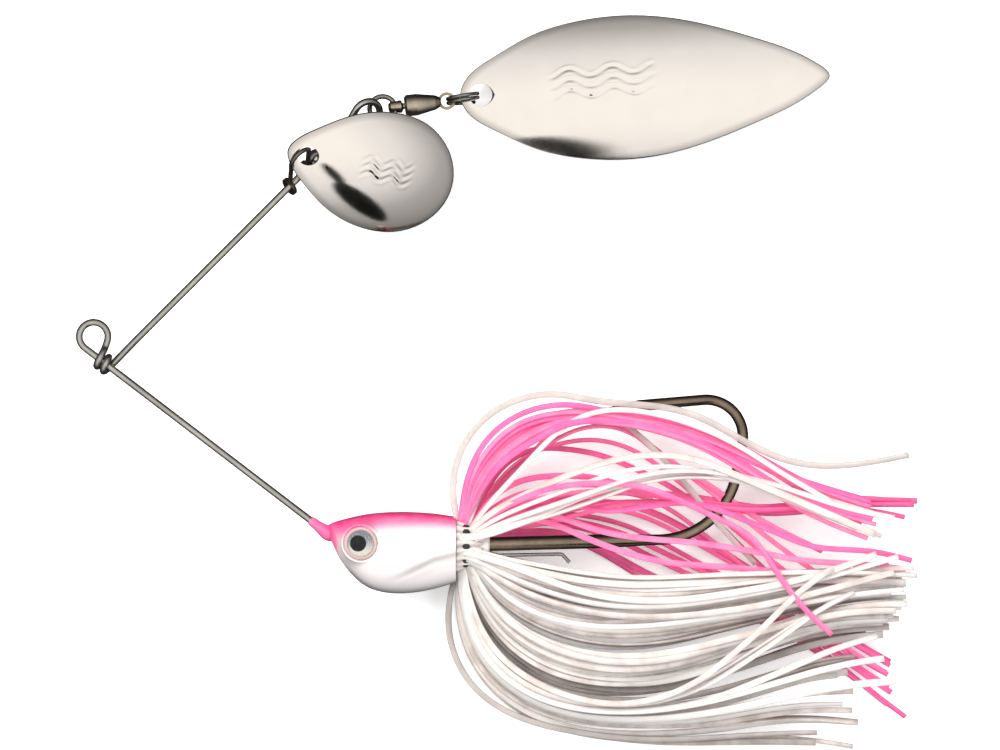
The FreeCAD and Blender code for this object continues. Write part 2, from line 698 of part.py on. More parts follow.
os.makedirs("parts", exist_ok=True)
for piece in pieces:
    piece.Shape.exportStep(f"parts/{piece.Label}.step")
    box = piece.Shape.BoundBox
    print(f"{piece.Label:28s} volume {piece.Shape.Volume:9.2f}  x {box.XMin:6.1f} {box.XMax:6.1f}"
          f"  y {box.YMin:6.1f} {box.YMax:6.1f}  z {box.ZMin:5.2f} {box.ZMax:5.2f}")
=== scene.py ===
import bpy
import numpy as np
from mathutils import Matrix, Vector
from bpy.props import FloatProperty, FloatVectorProperty, IntProperty, PointerProperty


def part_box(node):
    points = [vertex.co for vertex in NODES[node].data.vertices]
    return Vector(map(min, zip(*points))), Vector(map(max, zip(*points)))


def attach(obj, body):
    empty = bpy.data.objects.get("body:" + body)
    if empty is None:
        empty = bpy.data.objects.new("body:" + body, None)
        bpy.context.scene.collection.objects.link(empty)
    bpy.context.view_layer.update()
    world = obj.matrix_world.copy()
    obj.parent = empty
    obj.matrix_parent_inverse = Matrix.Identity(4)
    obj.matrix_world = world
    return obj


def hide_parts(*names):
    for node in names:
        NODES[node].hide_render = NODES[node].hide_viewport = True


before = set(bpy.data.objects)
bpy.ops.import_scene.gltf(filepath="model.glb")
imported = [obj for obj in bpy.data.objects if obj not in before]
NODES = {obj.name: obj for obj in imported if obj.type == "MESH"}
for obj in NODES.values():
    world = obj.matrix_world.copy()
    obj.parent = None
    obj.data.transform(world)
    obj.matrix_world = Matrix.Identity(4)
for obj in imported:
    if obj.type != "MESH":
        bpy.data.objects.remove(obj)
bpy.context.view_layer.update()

bl_info = {
    "name": "Tandem spinnerbait",
    "version": (1, 0, 0),
    "blender": (4, 5, 0),
    "location": "3D View > Sidebar > Lure",
    "description": "Finishes the parts of a tandem-blade spinnerbait and draws its silicone skirt",
    "category": "Object",
}

MM = 0.001
UP = np.array([0.0, 0.0, 1.0])
BEAD_RADIUS, BEAD_BORE = 1.45, 0.56
EYE_SEAT = 4.35  # height of the eye's seat over the middle plane
WAIST = 3.1  # radius where the strands leave the band
SKIRT_AXIS = [1, 0, 0]


def centre_of(node):
    """Middle of a CAD node's box, in millimetres."""
    low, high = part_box(node)
    return (np.array(low) + np.array(high)) / 2 / MM


WIRE_PLANE = centre_of("hook")[2]
BAND = centre_of("skirt_band")
EYE = centre_of("eye_disc_left")


# ------------------------------------------------------------------ settings


def colour(name, about, value):
    return FloatVectorProperty(name=name, description=about, default=value, size=3,
                               subtype="COLOR", min=0.0, max=1.0)


def length(name, about, value):
    return FloatProperty(name=name, description=about, default=value * MM, min=0.0,
                         unit="LENGTH", subtype="DISTANCE", precision=5)


class LureSizes(bpy.types.PropertyGroup):
    """Sizes of the pieces that are drawn here."""

    strand_width: length("Strand width", "Width of one flat silicone strand", 1.02)
    strand_thick: length("Strand thickness", "Thickness of one silicone strand", 0.34)
    strand_steps: IntProperty(name="Strand steps", description="Sections along one strand",
                              default=72, min=12)
    seed: IntProperty(name="Seed", description="Which of the skirt's small irregularities",
                      default=7)
    blade_thick: length("Blade thickness", "Plate thickness of both blades", 0.45)
    mark_depth: length("Mark depth", "Depth of the waves pressed into the blades", 0.05)
    groove_depth: length("Groove depth", "Depth of the gill line on the head", 0.34)
    view_height: length("View height", "Camera height over the wire frame", 600.0)
    view_width: length("View width", "Width of the field of view at the wire frame", 1000 / 7)


class LureColours(bpy.types.PropertyGroup):
    """Colours of the finishes."""

    steel: colour("Steel", "Drawn stainless wire", (0.62, 0.59, 0.54))
    hook: colour("Hook", "Black nickel of the hook", (0.36, 0.27, 0.20))
    fitting: colour("Fittings", "Antiqued nickel of rings and swivel", (0.60, 0.51, 0.40))
    nickel: colour("Nickel", "Polished plate of the blades", (0.93, 0.865, 0.80))
    bead: colour("Beads", "Plated bearing beads", (0.75, 0.73, 0.71))
    pearl: colour("Pearl", "White side of the head", (0.75, 0.712, 0.712))
    pink: colour("Head pink", "Back of the head", (0.95, 0.045, 0.24))
    strand_pink: colour("Strand pink", "Pink silicone", (0.95, 0.14, 0.36))
    strand_white: colour("Strand white", "Pearl white silicone", (0.74, 0.665, 0.63))
    band: colour("Band", "Rubber band", (0.012, 0.010, 0.010))
    floor: colour("Floor", "Surface that the lure lies on", (0.93, 0.93, 0.93))


# ------------------------------------------------------------------ shapes


def unit(v):
    """v divided by its length, over the last axis."""
    v = np.asarray(v, float)
    return v / np.maximum(np.linalg.norm(v, axis=-1, keepdims=True), 1e-12)


def step(x, low, high):
    """0 below low, 1 above high, and 3t^2 - 2t^3 between."""
    t = np.clip((x - low) / (high - low), 0.0, 1.0)
    return t * t * (3 - 2 * t)


def curve(points, count):
    """Natural cubic spline through the rows of points, at count even steps of chord length."""
    points = np.asarray(points, float)
    chord = np.linalg.norm(np.diff(points, axis=0), axis=1)
    knots = np.concatenate([[0.0], np.cumsum(chord)])
    n = len(points)
    system = np.eye(n)
    right = np.zeros_like(points)
    for k in range(1, n - 1):
        a, b = chord[k - 1], chord[k]
        system[k, k - 1:k + 2] = a, 2 * (a + b), b
        right[k] = 6 * ((points[k + 1] - points[k]) / b - (points[k] - points[k - 1]) / a)
    bend = np.linalg.solve(system, right)
    t = np.linspace(0.0, knots[-1], count)
    k = np.clip(np.searchsorted(knots, t, side="right") - 1, 0, n - 2)
    h = chord[k][:, None]
    after = ((t - knots[k])[:, None]) / h
    before = 1 - after
    return (before * points[k] + after * points[k + 1]
            + ((before ** 3 - before) * bend[k] + (after ** 3 - after) * bend[k + 1]) * h * h / 6)


def grid_faces(rows, columns):
    """Quads of a grid of rows x columns points, whose columns close on themselves."""
    r = np.arange(rows - 1)[:, None]
    c = np.arange(columns)[None, :]
    d = (c + 1) % columns
    quads = np.stack([r * columns + c, r * columns + d, (r + 1) * columns + d,
                      (r + 1) * columns + c], axis=-1)
    return quads.reshape(-1, 4)


def mesh_piece(name, points, faces, finish, body="frame", replaces=(), values=None):
    """A mesh object from points in millimetres, riding on a body."""
    mesh = bpy.data.meshes.new(name)
    mesh.from_pydata((np.asarray(points) * MM).tolist(), [], faces)
    mesh.shade_smooth()
    for key, data in (values or {}).items():
        layer = mesh.attributes.new(key, "FLOAT", "POINT")
        layer.data.foreach_set("value", np.asarray(data, np.float32))
    mesh.validate()
    piece = bpy.data.objects.new(name, mesh)
    bpy.context.scene.collection.objects.link(piece)
    mesh.materials.append(finish)
    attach(piece, body)
    if replaces:
        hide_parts(*replaces)
    return piece


def tube_faces(rows, columns):
    """Side quads of a closed tube, and one face over each end."""
    sides = grid_faces(rows, columns).tolist()
    first = list(range(columns))[::-1]
    last = [(rows - 1) * columns + c for c in range(columns)]
    return sides + [first, last]


def ring_faces(rows, columns):
    """Quads of a grid that closes on itself both ways, as a ring does."""
    last = (rows - 1) * columns
    k = np.arange(columns)
    close = np.stack([last + k, last + (k + 1) % columns, (k + 1) % columns, k], axis=1)
    return np.vstack([grid_faces(rows, columns), close])


def turned(profile, origin, axis, columns=96, lobes=0, lobe_depth=0.0):
    """Points of a profile of (distance, radius) turned round an axis from origin.

    With lobes, the radius is r + depth (|cos(lobes angle / 2)| - 1).
    """
    profile = np.asarray(profile, float)
    axis = unit(axis)
    side = unit(np.cross(UP if abs(axis[2]) < 0.9 else [1, 0, 0], axis))
    other = np.cross(axis, side)
    angle = np.linspace(0, 2 * np.pi, columns, endpoint=False)
    ripple = lobe_depth * (np.abs(np.cos(lobes * angle / 2)) - 1)
    radius = np.maximum(profile[:, 1:2] + ripple * (profile[:, 1:2] > 0.5), 0.001)
    spoke = np.cos(angle)[:, None] * side + np.sin(angle)[:, None] * other
    points = (np.asarray(origin, float) + profile[:, :1, None] * axis
              + radius[:, :, None] * spoke)
    return points.reshape(-1, 3), len(profile), columns


# ------------------------------------------------------------------ finishes


class Finish:
    """A node material with a few shorthands; every pattern reads Object coordinates."""

    def __init__(self, name, **sockets):
        self.material = bpy.data.materials.new(name)
        self.material.use_nodes = True
        self.nodes = self.material.node_tree.nodes
        self.links = self.material.node_tree.links
        self.shader = self.nodes["Principled BSDF"]
        self.place = self.add("ShaderNodeTexCoord").outputs["Object"]
        for key, value in sockets.items():
            self.shader.inputs[key.replace("_", " ")].default_value = value

    def add(self, kind, **settings):
        node = self.nodes.new(kind)
        for key, value in settings.items():
            setattr(node, key, value)
        return node

    def wire(self, source, target):
        self.links.new(source, target)

    def noise(self, per_mm, detail=3.0, roughness=0.55):
        """Noise with per_mm features to the millimetre."""
        node = self.add("ShaderNodeTexNoise")
        node.inputs["Scale"].default_value = per_mm / MM
        node.inputs["Detail"].default_value = detail
        node.inputs["Roughness"].default_value = roughness
        self.wire(self.place, node.inputs["Vector"])
        return node.outputs["Fac"]

    def ramp(self, source, *stops):
        """Colour ramp; each stop is (place, colour)."""
        node = self.add("ShaderNodeValToRGB")
        elements = node.color_ramp.elements
        while len(elements) < len(stops):
            elements.new(0.5)
        for element, (place, tint) in zip(elements, stops):
            element.position = place
            element.color = (*tint, 1.0)
        self.wire(source, node.inputs["Fac"])
        return node.outputs["Color"]

    def fit(self, source, low, high, to_low=0.0, to_high=1.0, smooth=True):
        """Map low..high of a value to to_low..to_high."""
        node = self.add("ShaderNodeMapRange")
        node.interpolation_type = "SMOOTHSTEP" if smooth else "LINEAR"
        for key, value in zip(("From Min", "From Max", "To Min", "To Max"),
                              (low, high, to_low, to_high)):
            node.inputs[key].default_value = value
        self.wire(source, node.inputs["Value"])
        return node.outputs["Result"]

    def math(self, kind, a, b):
        """Sum, product and so on of two sockets or numbers."""
        node = self.add("ShaderNodeMath", operation=kind)
        for socket, value in zip(node.inputs, (a, b)):
            if isinstance(value, (int, float)):
                socket.default_value = value
            else:
                self.wire(value, socket)
        return node.outputs[0]

    def mix(self, amount, a, b):
        """Colour a at 0 and b at 1; either may be a socket or a colour."""
        node = self.add("ShaderNodeMix", data_type="RGBA")
        for socket, value in ((node.inputs[0], amount), (node.inputs[6], a), (node.inputs[7], b)):
            if isinstance(value, bpy.types.NodeSocket):
                self.wire(value, socket)
            else:
                socket.default_value = (*value, 1.0) if isinstance(value, (tuple, list)) else value
        return node.outputs[2]

    def bump(self, height, depth):
        """Relief of a height pattern, depth millimetres deep."""
        node = self.add("ShaderNodeBump")
        node.inputs["Distance"].default_value = depth * MM
        node.inputs["Strength"].default_value = 1.0
        self.wire(height, node.inputs["Height"])
        self.wire(node.outputs["Normal"], self.shader.inputs["Normal"])

    def axis(self, letter):
        """One object coordinate in metres."""
        node = self.add("ShaderNodeSeparateXYZ")
        self.wire(self.place, node.inputs[0])
        return node.outputs[letter]

    def attribute(self, name):
        return self.add("ShaderNodeAttribute", attribute_name=name).outputs["Fac"]

    def set(self, socket, source):
        self.wire(source, self.shader.inputs[socket])


def scaled(tint, amount):
    return tuple(min(1.0, c * amount) for c in tint)


def metal(name, tint, rough=(0.18, 0.3), grain=3.0, grain_depth=0.004, dirt=0.75, painted_rim_shade=False):
    """Plated metal: fine grain, cloudy polish and a darker tone in its clouds.

    The metal can also be darker within a millimetre of its edge, by the inset attribute: painted
    shade along the rolled rim.
    """
    f = Finish(name, Metallic=1.0)
    clouds = f.noise(0.25, 4.0)
    fine = f.noise(grain, 5.0, 0.7)
    tone = f.ramp(clouds, (0.3, scaled(tint, dirt)), (0.7, tuple(tint)))
    speck = f.fit(fine, 0.35, 0.75, 0.0, 0.35)
    tone = f.mix(speck, tone, scaled(tint, dirt))
    # painted shade along the rim: darker towards the edge, by the inset attribute
    if painted_rim_shade:
        tone = f.mix(f.fit(f.attribute("inset"), 0.1, 1.3, 0.42, 0.0), tone, (0.16, 0.15, 0.15))
    f.set("Base Color", tone)
    f.set("Roughness", f.fit(fine, 0.3, 0.7, *rough))
    f.bump(fine, grain_depth)
    return f.material


def painted_head(c):
    """Pearl sides that fade to pink along the back and over the nose, under clear coat."""
    f = Finish("head_pearl_pink", Roughness=0.32, Coat_Weight=1.0, Coat_Roughness=0.06,
               Subsurface_Weight=0.06, Subsurface_Radius=(0.002, 0.001, 0.001))
    spray = f.noise(6.0, 6.0, 0.8)
    level = f.math("ADD", f.attribute("paint"), f.fit(spray, 0.0, 1.0, -0.08, 0.08, smooth=False))
    pearl = tuple(c.pearl)
    tint = f.ramp(level, (0.0, pearl), (0.25, (0.86, 0.60, 0.66)), (0.6, (0.92, 0.20, 0.42)),
                  (0.95, tuple(c.pink)))
    # painted shade: the shade attribute darkens the belly edge and the gill groove
    tint = f.mix(f.attribute("shade"), tint, (0.30, 0.265, 0.25))
    cloud = f.noise(0.5, 3.0)
    f.set("Base Color", f.mix(f.fit(cloud, 0.35, 0.75, 0.0, 0.12), tint, (0.72, 0.68, 0.69)))
    f.set("Roughness", f.fit(spray, 0.3, 0.7, 0.26, 0.38))
    f.bump(f.noise(1.5, 4.0, 0.5), 0.01)
    return f.material


def distance_from(f, x, y):
    """Distance in millimetres from an upright axis through (x, y)."""
    flat = f.add("ShaderNodeVectorMath", operation="MULTIPLY")
    flat.inputs[1].default_value = (1, 1, 0)
    f.wire(f.place, flat.inputs[0])
    node = f.add("ShaderNodeVectorMath", operation="DISTANCE")
    f.wire(flat.outputs[0], node.inputs[0])
    node.inputs[1].default_value = (x * MM, y * MM, 0)
    return f.math("MULTIPLY", node.outputs["Value"], 1 / MM)


def eye_print():
    """Silver foil with a plain round pupil, forward of centre."""
    f = Finish("eye_print", Roughness=0.22, Specular_IOR_Level=0.2)
    away = distance_from(f, EYE[0] - 0.36, EYE[1])
    # painted reflection: the foil is light and warm towards the belly and dark blue-grey towards
    # the back
    shade = f.fit(f.axis("Y"), (EYE[1] - 1.4) * MM, (EYE[1] + 1.2) * MM)
    foil = f.ramp(shade, (0.0, (0.72, 0.68, 0.60)), (0.5, (0.44, 0.45, 0.45)),
                  (1.0, (0.20, 0.23, 0.27)))
    fleck = f.noise(5.0, 2.0)
    foil = f.mix(f.fit(fleck, 0.4, 0.8, 0.0, 0.4), foil, (0.86, 0.82, 0.78))
    f.set("Base Color", f.mix(f.fit(away, 1.12, 1.2), (0.006, 0.006, 0.007), foil))
    f.set("Metallic", f.fit(away, 1.12, 1.2, 0.0, 0.85))
    return f.material


def eye_resin():
    """Clear resin with a pink cast in its rim."""
    f = Finish("eye_resin", Roughness=0.03, IOR=1.5)
    away = distance_from(f, EYE[0], EYE[1])
    rim = f.fit(away, 1.75, 2.3)
    smear = f.fit(f.noise(2.0, 2.0), 0.3, 0.7, 0.0, 0.008)
    f.set("Base Color", f.mix(rim, (0.60, 0.58, 0.58), (0.72, 0.42, 0.39)))
    f.set("Alpha", f.math("ADD", f.fit(away, 1.8, 2.2, 0.0, 0.85), smear))
    return f.material


def silicone(name, tint, deep, clear, painted_glow=0.0):
    """Soft silicone: each strand has its own random tone, darker for low strands as painted shade,
    and a fine mould grain runs along it.
    """
    # the emission is a painted glow in the strand's own colour, which lightens the strand's shade
    f = Finish(name, Roughness=0.42, Subsurface_Weight=0.25, Subsurface_Scale=0.25,
               Subsurface_Radius=(0.004, 0.002, 0.002), IOR=1.41, Sheen_Weight=0.1,
               Emission_Strength=painted_glow, Emission_Color=(*tint, 1.0))
    tone = f.attribute("tone")
    run = f.attribute("run")
    cloud = f.noise(0.35, 3.0)
    own = f.math("ADD", f.math("MULTIPLY", tone, 0.8), f.fit(cloud, 0.3, 0.7, 0.0, 0.3))
    colour_of = f.ramp(own, (0.0, deep), (0.45, tint), (1.0, clear))
    root = f.fit(run, 0.0, 0.12, 0.35, 0.0)
    f.set("Base Color", f.mix(root, colour_of, clear))
    fine = f.noise(4.0, 4.0, 0.6)
    f.set("Roughness", f.fit(fine, 0.3, 0.7, 0.34, 0.5))
    f.bump(fine, 0.008)
    f.set("Alpha", f.fit(tone, 0.0, 1.0, 0.97, 0.72))
    return f.material


def rubber(c):
    """Matt black rubber with a moulded grain."""
    f = Finish("band_rubber", Roughness=0.6)
    fine = f.noise(3.0, 5.0, 0.7)
    f.set("Base Color", f.ramp(fine, (0.3, tuple(c.band)), (0.8, (0.05, 0.045, 0.045))))
    f.set("Roughness", f.fit(fine, 0.3, 0.7, 0.5, 0.75))
    f.bump(fine, 0.03)
    return f.material


def dress(node, material):
    """Give a CAD node a finish."""
    slots = NODES[node].material_slots
    if not slots:
        NODES[node].data.materials.append(material)
    for slot in slots:
        slot.material = material


# ------------------------------------------------------------------ wire, hook, rings


class LURE_OT_hardware(bpy.types.Operator):
    """Finish the wire frame, hook, keeper, rings, swivel and clevis"""

    bl_idname = "lure.hardware"
    bl_label = "Wire, hook and fittings"

    def execute(self, context):
        c = context.scene.lure_colours
        wire = metal("drawn_wire", c.steel, (0.16, 0.3), 2.5, 0.004, 0.7)
        hook = metal("black_nickel", c.hook, (0.12, 0.22), 1.5, 0.006, 0.55)
        fitting = metal("antique_nickel", c.fitting, (0.2, 0.34), 2.0, 0.006, 0.45)
        ring = metal("ring_wire", scaled(c.steel, 0.72), (0.2, 0.32), 2.0, 0.006, 0.5)
        dress("frame_wire", wire)
        dress("hook", hook)
        dress("trailer_keeper", metal("keeper_wire", scaled(c.steel, 0.8)))
        strap = metal("clevis_strap", scaled(c.fitting, 0.62), (0.2, 0.36), 2.0, 0.008, 0.5)
        dress("clevis", strap)
        for node in ("swivel_stem", "swivel_barrel", "swivel_eye_plug"):
            dress(node, fitting)
        for node in ("coupling_ring", "split_ring"):
            dress(node, ring)
        dress("swivel_balls", wire)
        return {"FINISHED"}


class LURE_OT_beads(bpy.types.Operator):
    """Draw the bored bearing beads on the upper arm"""

    bl_idname = "lure.beads"
    bl_label = "Beads"

    def execute(self, context):
        finish = metal("bead_plate", context.scene.lure_colours.bead, (0.08, 0.18), 2.0, 0.003, 0.8)
        arm = unit([1, 1, 0])
        for node in ("front_bead", "rear_bead"):
            # the ball from one rim of its bore to the other, then back through the bore
            rim = np.arccos(BEAD_BORE / BEAD_RADIUS)
            angle = np.linspace(-rim, rim, 40)
            ball = BEAD_RADIUS * np.stack([np.sin(angle), np.cos(angle)], axis=1)
            back = np.linspace(ball[-1, 0], ball[0, 0], 8)
            back = np.stack([back, np.full(8, BEAD_BORE)], axis=1)
            points, rows, columns = turned(np.vstack([ball, back[1:-1]]), centre_of(node), arm, 72)
            faces = ring_faces(rows, columns).tolist()
            mesh_piece("bead_" + node.split("_")[0], points, faces, finish, node,
                       [node])
        return {"FINISHED"}


# ------------------------------------------------------------------ blades


class Blade:
    """A cupped plate with a hole, in the frame of its own hole."""

    def __init__(self, hole, x_axis, z_axis, outline, cross, long, middle, bore, thick):
        self.hole, self.bore, self.thick = np.asarray(hole, float), bore, thick
        self.x, self.z = unit(x_axis), unit(z_axis)
        self.z = unit(self.z - self.x * (self.z @ self.x))
        self.y = np.cross(self.z, self.x)
        self.cross, self.long, self.middle = cross, long, middle
        self.outline = outline

    def height(self, u, v):
        """Barrel-shaped cup: a torus of radii long and cross, level with the hole at u = 0."""
        ring = np.sqrt(np.maximum(self.cross ** 2 - v ** 2, 0)) + self.long - self.cross
        crown = np.sqrt(np.maximum(ring ** 2 - (u - self.middle) ** 2, 0)) - self.long
        lift = self.long - np.sqrt(self.long ** 2 - self.middle ** 2)
        return crown + lift

    def spot(self, u, v):
        """Place of the point (u, v) on top, and the normal there from the cup's slopes."""
        h = 0.01
        rise_u = (self.height(u + h, v) - self.height(u - h, v)) / (2 * h)
        rise_v = (self.height(u, v + h) - self.height(u, v - h)) / (2 * h)
        u, v, high, rise_u, rise_v = (np.asarray(k)[..., None]
                                      for k in (u, v, self.height(u, v), rise_u, rise_v))
        place = self.hole + u * self.x + v * self.y + high * self.z
        return place, unit(self.z - rise_u * self.x - rise_v * self.y)

    def under(self, plan):
        """The (u, v) of the top's places over rows of plan points, by repeated correction."""
        axes = np.stack([self.x[:2], self.y[:2]])
        flat = np.zeros_like(plan)
        for _ in range(6):
            lift = self.height(flat[:, 0], flat[:, 1])[:, None] * self.z[:2]
            flat = (plan - self.hole[:2] - lift) @ np.linalg.inv(axes)
        return flat

    def rim(self, count):
        """The outline as a closed smooth curve, with even steps and (u, v) in each row."""
        upper = np.asarray(self.outline, float)
        lower = upper[-2:0:-1] * [1, -1]
        loop = np.vstack([upper, lower])
        wrapped = np.vstack([loop[-4:], loop, loop[:5]])
        dense = curve(wrapped, 4000)
        start = np.argmin(np.linalg.norm(dense[:1500] - loop[0], axis=1))
        end = 2500 + np.argmin(np.linalg.norm(dense[2500:] - loop[0], axis=1))
        dense = dense[start:end]
        run = np.concatenate([[0], np.cumsum(np.linalg.norm(np.diff(dense, axis=0), axis=1))])
        t = np.linspace(0, run[-1], count, endpoint=False)
        return np.stack([np.interp(t, run, dense[:, k]) for k in range(2)], axis=1)

    def surface(self, mark, columns=360, rows=96):
        """Points of the plate: rings from the hole to the rim on top, over the edge and back.

        Ring s of the top is hole + s (rim - hole) for each direction; mark(u, v) is pressed in.
        """
        rim = self.rim(columns)[::-1]
        away = unit(rim)
        s = np.linspace(0, 1, rows)[:, None, None]
        bore = away * self.bore
        edge = 0.12
        flat = bore + s * (rim - away * edge - bore)
        top = self.height(flat[..., 0], flat[..., 1]) - mark(flat[..., 0], flat[..., 1])
        low_flat = flat[::-8]
        low = self.height(low_flat[..., 0], low_flat[..., 1]) - self.thick
        low = low - mark(low_flat[..., 0], low_flat[..., 1])
        # rounded edge: half circle of the plate's thickness outside the last ring
        turn = np.linspace(0, np.pi, 7)[1:-1, None]
        out = edge * np.sin(turn)
        edge_flat = (rim - away * edge)[None] + away[None] * out[..., None]
        middle = self.height(edge_flat[..., 0], edge_flat[..., 1]) - self.thick / 2
        edge_high = middle + self.thick / 2 * np.cos(turn)
        flat = np.concatenate([flat, edge_flat, low_flat])
        high = np.concatenate([top, edge_high, low])
        return (self.hole + flat[..., :1] * self.x + flat[..., 1:] * self.y
                + high[..., None] * self.z)

    def build(self, name, node, mark, finish):
        points = self.surface(mark)
        # distance from the rim in the blade's own plane
        flat = (points.reshape(-1, 3) - self.hole) @ np.stack([self.x, self.y], axis=1)
        rim = self.rim(2 * points.shape[1]).astype(np.float32)
        gap = flat.astype(np.float32)[:, None] - rim[None]
        inset = np.sqrt((gap ** 2).sum(-1).min(-1))
        faces = ring_faces(*points.shape[:2])[:, ::-1]
        return mesh_piece(name, points.reshape(-1, 3), faces.tolist(), finish,
                          node, [node], {"inset": inset})


def waves(middle, width, gap, swing, depth, turn=0.0):
    """Three pressed wave lines round middle: depth exp(-(d / stroke)^2) of the distance d."""

    def mark(u, v):
        a, b = u - middle[0], v - middle[1]
        a, b = a * np.cos(turn) + b * np.sin(turn), b * np.cos(turn) - a * np.sin(turn)
        fade = step(a, -width / 2, -width / 2 + 1) * step(-a, -width / 2, -width / 2 + 1)
        total = np.zeros_like(u)
        for row in (-1, 0, 1):
            wave = row * gap + swing * np.sin(2 * np.pi * a / (width / 2.5))
            slope = swing * 2 * np.pi / (width / 2.5) * np.cos(2 * np.pi * a / (width / 2.5))
            away = (b - wave) / np.sqrt(1 + slope ** 2)
            total += np.exp(-(away / 0.2) ** 2) - 0.45 * np.exp(-((np.abs(away) - 0.5) / 0.18) ** 2)
        return depth * fade * total

    return mark


FRONT_BLADE = dict(
    hole=(-27.87, 31.16, 10.15), outline=((-2.75, 0), (-1.7, 2.15), (0.5, 4.1), (4.9, 7.0),
                                          (10.6, 8.65), (16.3, 8.05), (20.6, 4.7), (22.1, 0)),
    cross=19.0, long=40.0, middle=11.5, bore=1.4)
REAR_BLADE = dict(
    outline=((-2.95, 0), (-2.0, 2.4), (1.9, 5.25), (7.5, 8.1), (13.5, 9.75), (22, 10.35),
             (30, 9.2), (40.5, 5.8), (48.8, 1.75), (50.4, 0)),
    cross=24.0, long=300.0, middle=20.0, bore=1.64)


def tilted(flat, direction, slope):
    """A level direction laid on a plane that falls by slope along direction."""
    flat, direction = np.asarray(flat, float), np.asarray(direction, float)
    return unit(flat - UP * (flat @ direction) * slope)


def front_blade(thick):
    """The front blade falls away from the arm, towards the lower right."""
    away, turn = unit([1, -1, 0]), np.radians(-11.6)
    return Blade(x_axis=tilted((np.cos(turn), np.sin(turn), 0), away, 0.45),
                 z_axis=UP + away * 0.45, thick=thick, **FRONT_BLADE)


def rear_blade(thick):
    """The rear blade hangs on the split ring and falls a little towards its tip."""
    turn = np.radians(3.5)
    axis = np.array([np.cos(turn), np.sin(turn), 0])
    hole = np.array([-3.4, 40.2, centre_of("split_ring")[2] - 0.55])
    return Blade(hole=hole, x_axis=tilted(axis, axis, 0.035), z_axis=UP + axis * 0.035,
                 thick=thick, **REAR_BLADE)


class LURE_OT_blades(bpy.types.Operator):
    """Draw the two cupped blades with their pressed waves"""

    bl_idname = "lure.blades"
    bl_label = "Blades"

    def execute(self, context):
        sizes = context.scene.lure_sizes
        thick, depth = sizes.blade_thick / MM, sizes.mark_depth / MM
        # the blades get painted shade along their rims
        finish = metal("blade_nickel", context.scene.lure_colours.nickel, (0.05, 0.1), 6.0, 0.0026,
                       0.965, painted_rim_shade=True)
        front_blade(thick).build("blade_front", "front_blade",
                                 waves((11.4, 0.6), 8.4, 1.15, 0.42, depth), finish)
        rear_blade(thick).build("blade_rear", "rear_blade",
                                waves((17.5, 0.9), 15.5, 1.5, 0.6, 1.7 * depth, 0.02), finish)
        return {"FINISHED"}


# ------------------------------------------------------------------ head and eyes

HEAD_STATIONS = (  # x, top y, bottom y, half thickness
    (-25.75, -22.05, -22.15, 0.02),
    (-25.3, -21.5, -22.7, 0.5),
    (-24.5, -21.0, -24.0, 1.45),
    (-23.4, -20.65, -26.3, 2.7),
    (-22.0, -20.3, -28.2, 3.7),
    (-19.6, -19.8, -30.2, 4.7),
    (-15.9, -19.5, -31.1, 5.3),
    (-12.2, -19.55, -30.9, 5.2),
    (-9.4, -19.8, -30.3, 4.75),
    (-6.9, -20.2, -29.5, 4.2),
)
GILL_LINE = ((-18.5, -29.6), (-16.8, -28.9), (-15.1, -28.4), (-12.5, -27.2), (-9.9, -26.0),
             (-6.5, -25.2))


